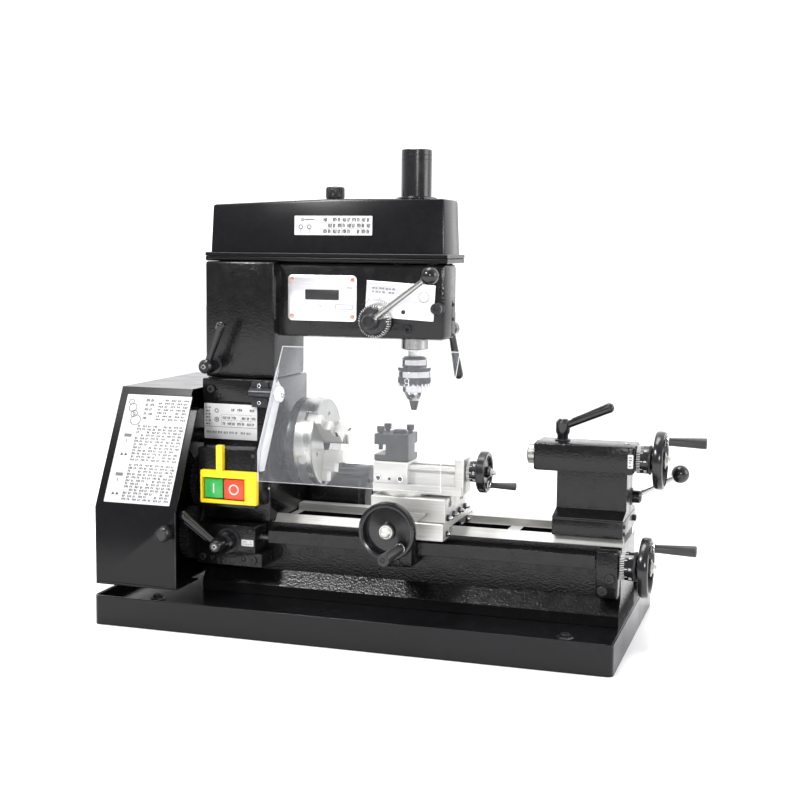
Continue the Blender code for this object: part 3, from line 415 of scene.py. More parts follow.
def glyph(text):
    """Flat outline of a number, one unit high, as points and faces."""
    if text not in GLYPHS:
        curve = bpy.data.curves.new("number", "FONT")
        curve.body = text
        curve.size = 1.0
        curve.align_x = "CENTER"
        curve.align_y = "CENTER"
        curve.extrude = 0.03
        curve.resolution_u = 2
        holder = bpy.data.objects.new("number", curve)
        bpy.context.scene.collection.objects.link(holder)
        graph = bpy.context.evaluated_depsgraph_get()
        mesh = bpy.data.meshes.new_from_object(holder.evaluated_get(graph))
        GLYPHS[text] = ([tuple(v.co) for v in mesh.vertices], [tuple(q.vertices) for q in mesh.polygons])
        bpy.data.objects.remove(holder)
        bpy.data.curves.remove(curve)
        bpy.data.meshes.remove(mesh)
    return GLYPHS[text]


def number_round(shape, p, radius, height, angle, text, size, m=0):
    """A number wrapped on a dial, its top towards the end of the axis."""
    verts, faces = glyph(text)
    out = []
    for x, y, z in verts:
        t = angle + x * size / radius
        r = radius + 0.08 + z * size
        out.append(p(r * math.cos(t), r * math.sin(t), height + y * size))
    shape.add(out, faces, m)


DARK_SCREWS = ("blackened_steel", "cast_black")
CHART = ("label_white", "label_ink", "sheet_black", "label_grey")


def screws(name, body, axis, heads, height, finishes=DARK_SCREWS):
    """Cap screws that look one way, from (x, y, z, radius)."""
    s = Shape()
    for x, y, z, radius in heads:
        s.screw(facing(axis, x, y, z), radius, height, 0, 1)
    s.make(name, finishes, body)


def collar(name, body, place, rows, steps=40):
    """Blackened ring on a shaft or a hub."""
    s = Shape()
    s.loop(place, rows, steps)
    s.make(name, ["blackened_steel"], body)


# ---------------------------------------------------------------- bed and carriage
def finishes_by_face():
    """Nodes that show two or three finishes, such as the ground ways of the cast bed."""
    dress_cad()
    repaint("bed", "ground_steel", lambda c, n: c.x > HEAD_RIGHT + 1
            and (c.z > 105.2 and n.z > -0.2 or c.z > 104.6 and n.z > 0.9))
    repaint("guard_bracket", "frosted", lambda c, n: c.x > -118.6)
    repaint("spindle", "blackened_steel", lambda c, n: c.x < -200)
    repaint("drill_chuck", "blackened_steel",
            lambda c, n: c.z > 291.6 or 262.0 < c.z < 291.4 and abs(n.z) < 0.9)
    repaint("drill_chuck", "dark_steel", lambda c, n: c.z < 244.6)
    repaint("quill_feed_lever", "turned_steel", lambda c, n: 4 < c.x < 64 and c.z > 337)
    repaint("quill_feed_lever", "black_plastic", lambda c, n: c.x > 58 and c.z > 374)
    repaint("tailstock_lock_lever", "turned_steel", lambda c, n: 288.5 < c.x < 316.4)
    # painted highlight: the clear guard's side wings, its bottom faces and its top edge are made whiter and
    # less clear, standing for the light glinting on them
    repaint("chuck_guard", "acrylic_painted_glint",
            lambda c, n: abs(n.x) > 0.9 or n.z < -0.9 or (n.z > 0.2 and c.z > 302.5))


def bed_screws():
    """Bolts of the bed, the end bracket and the feed gearbox."""
    screws("bed_bolts", "base", "Z", [(x, 66.2, 36.5, 5.0) for x in (-60, 100, 240)], 4.0)

    s = Shape()
    for x, z, r in ((267.4, 75.7, 4.6), (259.4, 62.4, 4.6)):
        p = facing("F", x, BRACKET_FRONT, z)
        s.rings(p, [(0, 0.05), (r + 1.4, 0.05), (r + 1.1, 0.45), (0, 0.45)], 28, 1)
        s.screw(p.moved(0, 0, 0.4), r, 1.6, 0, 1)
    s.rings(facing("F", 264, BRACKET_FRONT, 87.4),
            [(0, 0.05), (2.4, 0.05), (2.1, 0.8), (1.2, 0.8), (1.2, 0.3), (0, 0.3)], 20, 0)
    s.make("end_bracket_screws", DARK_SCREWS, "base")

    s = Shape()
    for x, r in ((-188.9, 3.9), (-176.6, 2.6), (-139.5, 2.6), (-127, 3.9)):
        s.screw(facing("F", x, GEARBOX_FRONT + 0.5, 66.6), r, 1.8, 0, 1)
    s.screw(facing("F", -131, GEARBOX_FRONT, 99), 2.4, 1.2, 0, 1)
    s.make("gearbox_screws", DARK_SCREWS, "base")


def gib_screws(name, body, x, y, step, z, nut, reach, screw, turned):
    """Four adjusting screws with lock nuts along the right side of a slide."""
    s = Shape()
    radius, height, bevel = nut
    for k in range(4):
        p = facing("X", x, y + step * k, z)
        rows = [(0, 0), (radius, 0), (radius, height - bevel), (radius - bevel, height), (0, height)]
        s.rings(p, rows, 6, 1, turned)
        s.screw(p.moved(0, 0, reach), *screw, 0, 1)
    s.make(name, ["chromed_steel", "blackened_steel"], body, "ground_steel")


def carriage_details():
    """Gib screws, clamp screws and the angle scale of the slides."""
    gib_screws("saddle_gib_screws", "carriage", 89.0, -48, 28, 108.5, (3.2, 2.0, 0.4), 1.6, (1.9, 2.6), 0.3)
    gib_screws("cross_gib_screws", "cross", 90.0, -50, 23.5, 126.4, (3.6, 2.9, 0.5), 2.4, (2.1, 4.2), 0.2)

    s = Shape()
    front = low_corner("top_slide").y
    for x in (11.8, 36.8):
        p = facing("F", x, front, 165.3)
        s.rings(p, [(0, 0.05), (3.7, 0.05), (3.7, 0.5), (3.3, 0.9), (2.4, 0.9), (2.2, 0.4), (0, 0.4)], 28,
                [0, 0, 0, 0, 1, 1])
        s.screw(p.moved(0, 0, 0.1), 1.9, 1.2, 2, 1)
    s.rings(facing("F", 24.4, front, 164.8), [(0, 0.05), (1.6, 0.05), (1.4, 0.4), (0, 0.4)], 16, 1)
    s.make("top_slide_screws", ["chromed_steel", "blackened_steel", "dark_steel"], "top", "ground_steel")

    s = Shape()
    p = facing("Z", 38, -31, 148.6)
    for k in range(25):
        t = math.radians(-150 + 5 * k)
        q = Place(p(27.0 * math.cos(t), 27.0 * math.sin(t)), (-math.sin(t), math.cos(t), 0), (0, 0, 1))
        s.slab(q, (-0.2, 0.2), (-1.1, 0.7 if k % 5 == 0 else -0.1), (-0.2, 0.08))
    s.make("swivel_scale", ["label_ink"], "swivel", "ground_steel")

    nut_front = low_corner("leadscrew_nut").y
    screws("nut_bracket_screws", "carriage", "F",
           [(x, nut_front, z, 2.9) for x, z in ((32, 88), (50, 88), (41, 79))], 1.6)


# ---------------------------------------------------------------- headstock and lathe chuck
def headstock_details():
    """Screws and raised band on the front, and the bearing cap on the right."""
    s = Shape()
    for x, z in ((-188.6, 253.8), (-137.0, 255.0)):
        p = facing("F", x, HEAD_FRONT, z)
        s.rings(p, [(0, 0.05), (5.6, 0.05), (5.2, 0.5), (0, 0.5)], 28, 1)
        s.screw(p.moved(0, 0, 0.4), 4.3, 3.4, 0, 1)
    s.make("headstock_screws", DARK_SCREWS, "base")

    s = Shape()
    p = facing("F", (low_corner("headstock").x + HEAD_RIGHT) / 2, HEAD_FRONT, 253)
    s.plate(p, (-41.0, 41.0), (-12.6, 12.6), (0.02, 0.9), 1.5, 0, 0.4)
    s.make("headstock_band", ["cast_black"], "base")

    s = Shape()
    p = facing("X", HEAD_RIGHT, AXIS_Y, AXIS_Z)
    s.loop(p, [(22.6, 0.05), (34, 0.05), (34, 1.6), (33.2, 2.2), (22.6, 2.2)], 48)
    for y, z in around(4, 28, 45):
        s.screw(p.moved(y, z, 2.1), 2.6, 1.4, 0, 0)
    s.make("bearing_cap", ["cast_black"], "base")


def chuck_details():
    """Backplate screws, key sockets and the engraved face of the chuck."""
    s = Shape()
    for y, z in around(3, 40, 77):
        s.screw(facing("L", CHUCK_BACK, AXIS_Y + y, AXIS_Z + z), 3.6, 2.0, 0, 1)
    s.loop(facing("L", CHUCK_BACK, AXIS_Y, AXIS_Z), [(22.6, 0.02), (27, 0.02), (26.4, 0.6), (22.6, 0.6)], 48)
    s.make("backplate_screws", DARK_SCREWS, "lathe_spindle")

    def square(t):
        return 2.6 / max(abs(math.cos(t)), abs(math.sin(t)))
    s = Shape()
    for k in range(3):
        out = outward(197 + 120 * k)
        p = Place(Vector((-82.5, AXIS_Y, AXIS_Z)) + out * 49.6, (1, 0, 0), out.cross(Vector((1, 0, 0))))
        s.rings(p, [(0, 0), (6.0, 0), (6.0, 0.35), (5.4, 0.6), (4.6, 0.6), (4.6, 0.45), (square, 0.45),
                    (square, 0.1), (0, 0.1)], 32, [0, 0, 0, 0, 1, 0, 1, 1])
    s.make("chuck_key_sockets", ["turned_steel", "label_ink"], "lathe_spindle", "ground_steel")

    s = Shape()
    p = facing("X", CHUCK_FACE, AXIS_Y, AXIS_Z)
    for r in (49.0, 20.5):
        s.loop(p, [(r - 0.35, 0.02), (r - 0.35, 0.12), (r, 0.12), (r, 0.02)], 96)
    for y, z in around(3, 33, 77):
        s.screw(p.moved(y, z), 3.4, 0.5, 0, 1)
    s.make("chuck_face_details", ["turned_steel", "label_ink"], "lathe_spindle", "ground_steel")


def jaw_teeth():
    """Gripping teeth at the tip of each jaw and the number patch on its flank."""
    for k, angle in enumerate(JAW_ANGLES):
        out = outward(angle)
        side = outward(angle + 90)
        s = Shape()
        for i in range(5):
            base = Vector((-66.5 + 4.0 * i, AXIS_Y, AXIS_Z)) + out * 9.5
            s.prism(Place(base, side, -out), [(-5.6, 0), (5.6, 0), (5.2, 0.7), (-5.2, 0.7)], (-0.8, 0.8))
        base = Vector((-51.0, AXIS_Y, AXIS_Z)) + out * 24.5 + side * 6.0
        s.slab(Place(base, (1, 0, 0), out), (-1.6, 1.6), (-4, 4), (-0.1, 0.12), 1)
        s.make(f"jaw_{k + 1}_teeth", ["turned_steel", "dark_steel"], f"jaw_{k + 1}", "ground_steel")


# ---------------------------------------------------------------- covers and motor
def gear_cover_details():
    """Seams, screws and louvres of the sheet metal cover over the change gears."""
    front, back = low_corner("gear_cover"), high_corner("gear_cover")
    x = (front.x + back.x) / 2
    s = Shape()
    p = facing("F", x, front.y, front.z)
    s.plate(p, (-48.6, 48.6), (0.2, 3.2), (0.02, 0.5), 0.4, 0, 0.2)
    s.plate(p, (47.6, 48.8), (0.4, 86.0), (0.02, 0.5), 0.4, 1, 0.2)
    s.make("gear_cover_seams", ["sheet_black", "dark_steel"], "side_cover")

    s = Shape()
    for z in (54, 236):
        for dx in (-35, 35):
            p = facing("B", x + dx, back.y, z)
            s.rings(p, [(0, 0.02), (4.4, 0.02), (4.2, 0.8), (3.0, 1.6), (0, 1.9)], 24, 0)
            s.cross_slot(p, 3.0, 0.4, (1.2, 1.95), 1)
    s.make("gear_cover_screws", ["blackened_steel", "label_ink"], "side_cover")

    s = Shape()
    for k in range(9):
        p = facing("B", x, back.y, 110 + 9.0 * k)
        s.plate(p, (-26, 26), (-2.2, 2.2), (0.02, 0.5), 2.1, 0, 0.2)
        s.plate(p, (-24.5, 24.5), (-1.3, 1.3), (0.4, 0.62), 1.2, 1, 0.1)
    s.make("gear_cover_louvres", ["sheet_black", "label_ink"], "side_cover")


def belt_cover_details():
    """Upper lip of the rim, edge strips on the rim and the collar of the spindle tube."""
    near, far = low_corner("belt_cover"), high_corner("belt_cover")
    rim_top = near.z + 5.7
    verts = []
    for inset, rise in ((0.1, 0.05), (0.1, 3.6), (0.7, 4.2), (4.1, 4.2), (4.1, 0.05)):
        x0, x1, y0, y1 = near.x + inset, far.x - inset, near.y + inset, far.y - inset
        verts += [(x, y, rim_top + rise) for x, y in ((x0, y0), (x1, y0), (x1, y1), (x0, y1))]
    faces = []
    for a in range(0, len(verts), 4):
        b = (a + 4) % len(verts)
        faces += [(a + i, a + (i + 1) % 4, b + (i + 1) % 4, b + i) for i in range(4)]
    s = Shape()
    s.add(verts, faces)
    s.make("belt_cover_lip", ["sheet_black"], "top_cover")

    s = Shape()
    for axis, y in (("F", near.y), ("B", far.y)):
        s.plate(facing(axis, -63, y, 400.3), (-141.6, 141.6), (-1.9, 1.6), (0.02, 0.5), 0.8, 0, 0.2)
    s.make("belt_cover_rim", ["sheet_black"], "top_cover")

    s = Shape()
    lobes = waves(22.4, 0.9, 6)
    p = facing("Z", DRILL_X, AXIS_Y, 467.2)
    s.loop(p, [(17.4, 0.4), (lobes, 0.1), (lobes, 1.4), (20.7, 2.3), (17.4, 2.3)], 60)
    for x, y in around(3, 19.6, 30):
        s.screw(p.moved(x, y, 2.1), 1.4, 1.1, 1, 0)
    for z in (509.5, 514.5):
        s.loop(facing("Z", DRILL_X, AXIS_Y, z), [(16.9, 0), (17.2, 0.2), (17.2, 0.7), (16.9, 0.9)], 64)
    s.make("tube_collar", ["black_plastic", "blackened_steel"], "top_cover")


def cover_knobs():
    """Fluted rims and end caps of the two cover knobs."""
    def flutes(r, count, deep):
        return lambda t: r + deep * abs(math.cos(count * t / 2))
    s = Shape()
    x = middle("belt_cover_knob").x
    rim = flutes(10.3, 28, 0.4)
    s.loop(facing("Z", x, AXIS_Y, 468.9), [(10.2, 0), (rim, 0.3), (rim, 10.2), (10.1, 10.8)], 168)
    s.rings(facing("Z", x, AXIS_Y, 480.7), [(0, 0), (4.4, 0), (4.2, 0.5), (2.6, 0.9), (0, 0.9)], 24, 1)
    s.make("belt_cover_knob_flutes", ["black_plastic", "blackened_steel"], "cover_nut")

    s = Shape()
    knob = middle("gear_cover_knob")
    rim = flutes(8.3, 20, 0.5)
    s.loop(facing("F", knob.x, -136.4, knob.z), [(8.4, 0), (rim, 0.3), (rim, 6.0), (8.2, 6.5)], 120)
    s.loop(facing("F", knob.x, -145.9, knob.z), [(6.0, -0.4), (6.4, 0.1), (6.0, 0.35), (5.6, 0.1)], 40)
    s.make("gear_cover_knob_flutes", ["black_plastic"], "side_nut")


def motor_details():
    """Cooling ribs, end screws with the shaft cap, and a plate of plain lines."""
    s = Shape()
    back = Vector((-1, 0, 0))
    for k in range(18):
        out = outward(-60 + 13.5 * k)
        p = Place(Vector((-65, MOTOR_Y, MOTOR_Z)) + out * 34.2, back, out.cross(back))
        s.plate(p, (0, 102), (-0.9, 0.9), (0, 1.1), 0.6, 0, 0.3)
    s.make("motor_ribs", ["cast_black"], "base")

    s = Shape()
    for y, z in around(4, 27, 45):
        for axis, x in (("X", -44.2), ("L", -187.4)):
            s.screw(facing(axis, x, MOTOR_Y + y, MOTOR_Z + z), 2.6, 2.0, 0, 1)
    s.rings(facing("X", -42.2, MOTOR_Y, MOTOR_Z), [(0, 0.1), (16, 0.1), (15.4, 1.4), (9, 2.0), (0, 2.0)],
            40, 2)
    for k in range(8):
        out = outward(45 * k)
        p = Place(Vector((-40.6, MOTOR_Y, MOTOR_Z)) + out * 12, out, outward(45 * k + 90))
        s.plate(p, (-3.6, 2.2), (-0.9, 0.9), (0.1, 0.45), 0.8, 1, 0.1)
    s.make("motor_end_fittings", ["blackened_steel", "label_ink", "cast_black"], "base")

    s = Shape()
    p = facing("B", -128, MOTOR_Y + 35.0, MOTOR_Z)
    s.plate(p, (-21, 21), (-12, 12), (0.1, 0.7), 2.0, 0, 0.2)
    for b in (-6, -2, 2, 6):
        s.slab(p, (-16, 10 if b > 0 else 15), (b - 0.35, b + 0.35), (0.6, 0.8), 1)
    s.make("motor_plate", ["aluminium", "label_ink"], "base", "ground_steel")


# ---------------------------------------------------------------- drill head
def arm_details():
    """Clamp bolt and lock stud on the arm's front, and the screws beside its slit."""
    s = Shape()
    p = facing("F", 34, ARM_FRONT, 325.6)
    s.rings(p, [(0, 0.02), (6.6, 0.02), (6.3, 0.7), (5.0, 1.0), (5.0, 0.6), (0, 0.6)], 32, [0, 0, 0, 0, 1])
    s.screw(p.moved(0, 0, 0.4), 4.4, 2.6, 0, 1)
    s.make("arm_front_bolt", DARK_SCREWS, "base")
    s = Shape()
    s.rings(facing("F", 69.0, ARM_FRONT, 349.0),
            [(0, 0.02), (6.4, 0.02), (6.4, 1.4), (4.8, 1.8), (4.8, 7.2), (6.0, 7.8), (6.0, 13.2), (5.2, 14.0),
             (2.6, 14.0), (2.4, 12.6), (0, 12.6)], 32, [0] * 8 + [1, 1])
    s.make("quill_lock_stud", ["blackened_steel", "label_ink"], "base")
    screws("quill_slit_screws", "base", "X", [(ARM_RIGHT, 17.0, z, 2.2) for z in (318, 336, 352)], 0.8,
           ["blackened_steel", "label_ink"])


def feed_dial_details():
    """Graduation of the quill feed dial and the socket in its hub."""
    s = Shape()
    p = facing("F", FEED_X, 0, FEED_Z)
    for k in range(40):
        t = 2 * math.pi * k / 40
        s.ticks(p, 18.0, 22.6, [4.2], 1, 0.7, 0.14, t)
        slope_top = p(18.0 * math.cos(t), 18.0 * math.sin(t), 28.5)
        slope_end = p(14.6 * math.cos(t), 14.6 * math.sin(t), 32.3)
        q = Place(slope_top, slope_end - slope_top, p.v * math.cos(t) - p.u * math.sin(t))
        if q.n.dot(p(math.cos(t), math.sin(t), 0.4) - p.o) < 0:
            q.n = -q.n
        s.slab(q, (0.2, 2.8 if k % 5 else 4.4), (-0.32, 0.32), (-0.25, 0.12), 0)
    s.make("feed_dial_marks", ["mark_white"], "quill_feed", "black_plastic")

    s = Shape()
    socket = hexagon(3.0)
    s.rings(p, [(0, 47.4), (6.4, 47.4), (6.2, 48.3), (3.9, 48.6), (socket, 48.5), (socket, 47.7), (0, 47.7)],
            36, [0, 0, 0, 0, 1, 1])
    s.make("feed_hub_socket", ["dark_steel", "label_ink"], "quill_feed", "blackened_steel")


def drill_chuck_details():
    """Bright bands, key teeth, knurled sleeve, jaws and key holes of the drill chuck."""
    p = facing("Z", DRILL_X, AXIS_Y, 0)

    def teeth(t):
        return 17.2 + (1.0 if math.sin(22 * t) > 0 else -1.0)
    s = Shape()
    s.loop(p, [(17.9, 270.8), (18.35, 271.2), (18.35, 277.6), (17.9, 278.0)], 72)
    s.loop(p, [(14.0, 284.4), (14.6, 284.8), (14.6, 290.6), (13.9, 291.2)], 72)
    s.loop(p, [(13.2, 261.4), (teeth, 261.0), (teeth, 264.2), (17.6, 264.6)], 176)
    s.loop(p, [(13.0, 254.2), (13.55, 254.6), (13.55, 261.6), (12.9, 262.0)], 72)
    s.make("drill_chuck_bands", ["chromed_steel"], "drill")

    s = Shape()
    knurl = waves(18.15, 0.22, 60)
    for low, high in ((264.9, 270.4), (278.4, 281.6)):
        s.loop(p, [(17.8, low), (knurl, low + 0.3), (knurl, high - 0.3), (17.8, high)], 240)
    for x, y in around(3, 1, 20):
        s.prism(Place(p.o, (x, y, 0), (0, 0, 1)), [(0.4, 245.5), (5.7, 245.5), (2.9, 234.2), (0.4, 233.3)],
                (-2.0, 2.0), 1)
    s.make("drill_chuck_sleeve", ["blackened_steel", "dark_steel"], "drill")

    s = Shape()
    for x, y in around(3, 18.0, -100):
        out = Vector((x, y, 0))
        q = Place(p(x, y, 267.6), (0, 0, 1), out.cross(Vector((0, 0, 1))))
        s.rings(q, [(0, 0.1), (3.2, 0.1), (3.0, 0.5), (2.0, 0.5), (2.0, 0.25), (0, 0.25)], 24,
                [0, 0, 0, 1, 1])
    s.make("drill_chuck_holes", ["chromed_steel", "label_ink"], "drill")


# ---------------------------------------------------------------- hand wheels, dials and levers
def wheel_details(name, body, hub, nut, dial, numbers, grip_body, pin, grip):
    """Dial marks, knurled ring and hub nut of a hand wheel, and the ferrule and tip of its handle."""
    axis, x, y, z, end = hub
    dial_r, dial_end, dial_len = dial
    face = facing(axis, x, y, z)
    s = Shape()
    s.ticks(face, dial_r, dial_end, [dial_len * 0.55] + [dial_len * 0.32] * 4, 50, 0.5, 0.12)
    for k, text in enumerate(numbers):
        t = 2 * math.pi * k / len(numbers)
        number_round(s, face, dial_r, dial_end + dial_len * 0.76, t, str(text), dial_len * 0.36)
    s.make(name + "_dial_marks", ["mark_white"], body, "black_plastic")

    top = dial_end + dial_len
    knurl = waves(dial_r + 0.35, 0.35, 48)
    rows = [(dial_r - 0.4, top + 0.1), (knurl, top + 0.5), (knurl, top + 2.6), (dial_r - 2.5, top + 3.2),
            (dial_r - 2.6, top + 0.1)]
    collar(name + "_dial_ring", body, face, rows, 192)

    s = Shape()
    side = hexagon(nut * 0.87)
    rows = [(0, 0.02), (nut + 0.9, 0.02), (nut + 0.9, 0.7), (side, 0.7), (side, 3.0), (nut * 0.84, 3.4),
            (nut * 0.66, 5.2), (nut * 0.35, 6.1), (0, 6.3)]
    s.rings(face.moved(0, 0, end), rows, 36)
    q = facing(axis, *pin)
    s.loop(q, [(2.1, -0.9), (4.6, -0.9), (4.6, -0.2), (3.9, 0.25), (2.1, 0.25)])
    s.make(name + "_hub_nut", ["ground_steel"], body)

    s = Shape()
    length, radius = grip
    neck = radius * 0.8
    s.loop(q, [(neck, 0.35), (neck + 0.35, 0.7), (neck + 0.35, 2.4), (radius * 0.78, 2.8),
               (radius * 0.7, 1.5)], 40)
    s.rings(q.moved(0, 0, length), [(0, -0.98), (2.2, -0.98), (2.2, -0.3), (1.9, -0.1), (1.1, -0.1),
                                    (1.1, -0.6), (0, -0.6)], 24, 1)
    s.make(name + "_grip_ferrule", ["chromed_steel", "blackened_steel"], grip_body)


def wheels():
    """Each wheel's axis and end, dial radius, start and length, and its handle's place and size."""
    fine = range(0, 16, 2)
    coarse = range(0, 80, 10)
    lead = middle("leadscrew")
    wheel_details("leadscrew_wheel", "feed_screw", ("X", 0, lead.y, lead.z, 308), 5.6, (15.0, 277.6, 13.0),
                  fine, "feed_grip", (308.3, lead.y, lead.z + 20.5), (45, 6))
    wheel_details("tailstock_wheel", "tail_feed", ("X", 0, AXIS_Y, AXIS_Z, 313), 5.6, (15.0, 283.6, 12.0),
                  fine, "tail_grip", (313.3, AXIS_Y, AXIS_Z + 20.5), (42, 6))
    wheel_details("cross_wheel", "cross_feed", ("F", 40, 0, 118.5, 108), 6.4, (10.0, 63.4, 12.6),
                  coarse, "cross_grip", (56, -108.3, 102.5), (58, 6.5))
    wheel_details("top_wheel", "top_feed", ("X", 0, -31, 175.5, 133.0), 3.4, (11.5, 107.8, 11.0),
                  coarse, "top_grip", (130.8, -31, 161.5), (30, 4.2))


def lever_cap(name, body, axis, x, y, z, r):
    """Round cap with a hexagon socket over a lever's hub."""
    s = Shape()
    p = facing(axis, x, y, z)
    s.rings(p, [(0, 0.05), (r, 0.05), (r - 0.5, 0.6), (r * 0.62, 0.6), (r * 0.62, 0.25), (0, 0.25)], 32,
            [0, 0, 0, 1, 1])
    s.screw(p, r * 0.52, 0.9, 1, 2)
    s.make(name, ["black_plastic", "turned_steel", "label_ink"], body)


def lever_rib(name, body, p0, p1, r0, r1, up):
    """Two raised ribs along a lever, from near its hub to near its tip."""
    a, b = Vector(p0), Vector(p1)
    along = (b - a).normalized()
    side = along.cross(Vector(up)).normalized()
    top = side.cross(along)
    s = Shape()
    for sign in (-1, 1):
        q0 = a + side * sign * r0 * 0.62 + top * r0 * 0.72
        q1 = b + side * sign * r1 * 0.62 + top * r1 * 0.72
        s.plate(Place(q0, q1 - q0, top), (2, (q1 - q0).length - 2), (-0.6, 0.9), (-0.45, 0.45), 0.5, 0, 0.15)
    s.make(name, ["black_plastic"], body)


def lever_details():
    """Caps, ribs and foot collars of the clamping levers."""
    lever_cap("quill_clamp_cap", "quill_clamp", "Z", 202, AXIS_Y, 231.2, 5.2)
    lever_cap("column_lever_cap", "column_clamp", "F", -190, -63.2, 280, 5.4)
    lever_cap("feed_lever_cap", "feed_clutch", "F", -158, -105.2, 87, 5.6)
    lever_cap("head_clamp_cap", "head_clamp", "B", 66, 54.0, 324, 4.6)
    front = (0, -1, 0)
    lever_rib("quill_clamp_rib", "quill_clamp", (212, 10.4, 228.5), (250, 8.1, 245), 4.3, 5.3, (0, 0, 1))
    lever_rib("column_lever_rib", "column_clamp", (-186, -54.8, 291), (-171, -59.8, 324), 4.0, 5.1, front)
    lever_rib("feed_lever_rib", "feed_clutch", (-166, -99, 94), (-190, -111, 119), 4.2, 5.4, front)
    collar("quill_clamp_collar", "tailstock", facing("Z", 202, AXIS_Y, 208.1),
           [(6.2, 0.1), (8.4, 0.1), (8.4, 1.4), (6.2, 1.9)])
    s = Shape()
    s.loop(facing("F", -190, -35, 280), [(6.2, 0.05), (9.4, 0.05), (9.4, 1.2), (6.2, 1.7)], 40)
    s.loop(facing("F", -158, GEARBOX_FRONT, 87), [(11.2, 0.05), (14.0, 0.05), (13.4, 1.2), (11.2, 1.2)], 40)
    s.make("lever_collars", ["blackened_steel"], "base")


# ---------------------------------------------------------------- tailstock, switch and guard
def tailstock_details():
    """Index label, oiler, screws, quill scale, wiper, foot seam and lever collar of the tailstock."""
    s = Shape()
    p = facing("F", 279.0, -12.0, 192.5)
    s.plate(p, (-2.9, 2.9), (-7.4, 7.4), (0.05, 0.35), 1.0, 0, 0.1)
    for b in (-5.0, -1.2, 1.4, 4.2):
        s.slab(p, (-1.6, 0.4 if b < 0 else 1.6), (b - 0.5, b + 0.5), (0.3, 0.42), 1)
    s.make("tailstock_label", ["label_white", "label_ink"], "tailstock")

    s = Shape()
    top = high_corner("tailstock_body").z
    s.rings(facing("Z", 272, AXIS_Y, top), [(0, 0.05), (3.4, 0.05), (3.1, 0.7), (1.7, 0.9), (0, 1.3)], 28,
            [0, 0, 0, 1])
    for z in (118, 126):
        s.screw(facing("X", TAIL_RIGHT, -30, z), 2.4, 1.6, 1, 2)
    s.screw(facing("X", TAIL_RIGHT, 45, 122), 3.6, 3.0, 1, 2)
    finishes = ["turned_steel", "blackened_steel", "label_ink"]
    s.make("tailstock_screws", finishes, "tailstock", "blackened_steel")

    s = Shape()
    q = facing("X", 0, AXIS_Y, AXIS_Z)
    for k in range(8):
        s.ticks(q, 11.0, 166.6 + k, [0.28], 1, 5.0 if k % 5 == 0 else 3.0, 0.05, math.radians(118))
    s.loop(q, [(10.95, 165.9), (11.06, 166.0), (11.06, 166.2), (10.95, 166.3)], 64)
    s.make("quill_scale", ["label_ink"], "tail_quill", "ground_steel")

    collar("quill_wiper", "tailstock", facing("L", low_corner("tailstock_body").x, AXIS_Y, AXIS_Z),
           [(11.4, 0.05), (15.4, 0.05), (14.8, 0.9), (11.4, 0.9)], 48)

    s = Shape()
    s.plate(facing("F", 238.5, -36.05, 130.9), (-37.0, 37.0), (-0.5, 0.5), (0.0, 0.25), 0.4, 0, 0.1)
    s.make("tailstock_seam", ["dark_steel"], "tailstock", "ground_steel")

    collar("lock_lever_collar", "tailstock", facing("X", low_corner("tailstock_lock_lever").x, 25, 149),
           [(7.2, 0.05), (9.6, 0.05), (9.0, 1.2), (7.2, 1.2)])


def switch_details():
    """Marks on the two buttons, the yellow frame's rim, and the screws near the switch."""
    start, stop = middle("start_button"), middle("stop_button")
    s = Shape()
    p = facing("F", start.x, low_corner("start_button").y, start.z)
    s.plate(p, (-0.75, 0.75), (-5.4, 5.4), (0.02, 0.35), 0.7, 0, 0.1)
    s.make("start_mark", ["label_white"], "start")
    s = Shape()
    p = facing("F", stop.x, low_corner("stop_button").y, stop.z)
    s.loop(p, [(4.3, 0.02), (5.9, 0.02), (5.75, 0.3), (4.45, 0.3)], 48)
    s.make("stop_mark", ["label_white"], "stop")

    s = Shape()
    p = facing("F", -153.0, low_corner("switch_frame").y, 149)
    for x0, x1, y0, y1 in ((-26.6, -25.5, -13.4, 13.4), (25.4, 26.5, -13.4, 13.4), (-25.6, 25.5, 12.5, 13.5),
                           (-25.6, 25.5, -13.4, -12.3), (28.4, 37.4, -14.2, 17.4)):
        s.plate(p, (x0, x1), (y0, y1), (0.02, 0.7), 0.5, 0, 0.3)
    for z in (138.0, 164.0):
        s.rings(facing("F", -119.6, -92.7, z), [(0, 0.02), (1.8, 0.02), (1.5, 0.4), (0, 0.5)], 20)
    s.make("switch_frame_rim", ["yellow_plastic"], "base")

    s = Shape()
    q = facing("F", -121.6, low_corner("switch_box").y, 186)
    s.rings(q, [(0, 0.02), (2.2, 0.02), (2.2, 0.5), (0, 0.7)], 20, 1)
    s.make("switch_box_stud", ["cast_black", "blackened_steel"], "base")

    s = Shape()
    p = facing("F", -121.4, HEAD_FRONT, 144.6)
    s.rings(p, [(0, 0.02), (3.6, 0.02), (3.4, 1.2), (2.4, 2.0), (0, 2.4)], 28)
    s.cross_slot(p, 2.1, 0.35, (1.2, 2.48), 2)
    s.make("switch_bracket_screw", ["chromed_steel", "cast_black", "label_ink"], "base")


def guard_details():
    """Pivot screw with its frosted washer, and the bracket's screws."""
    s = Shape()
    p = facing("X", high_corner("guard_bracket").x, -52.5, 252)
    s.rings(p, [(0, 0.05), (3.6, 0.05), (3.4, 1.2), (2.0, 1.8), (0, 1.9)], 28)
    s.slab(p, (-2.2, 2.2), (-0.35, 0.35), (1.0, 1.96), 1)
    s.loop(p.moved(0, 0, -5.6), [(5.8, 0.3), (8.6, 0.3), (8.6, 4.6), (7.8, 5.2), (5.8, 5.2)], 48, 2)
    s.make("guard_pivot_screw", ["chromed_steel", "label_ink", "frosted"], "base")
    screws("guard_bracket_screws", "base", "F", [(-128.5, -49.5, z, 2.6) for z in (241, 260)], 1.6,
           ["chromed_steel", "label_ink"])


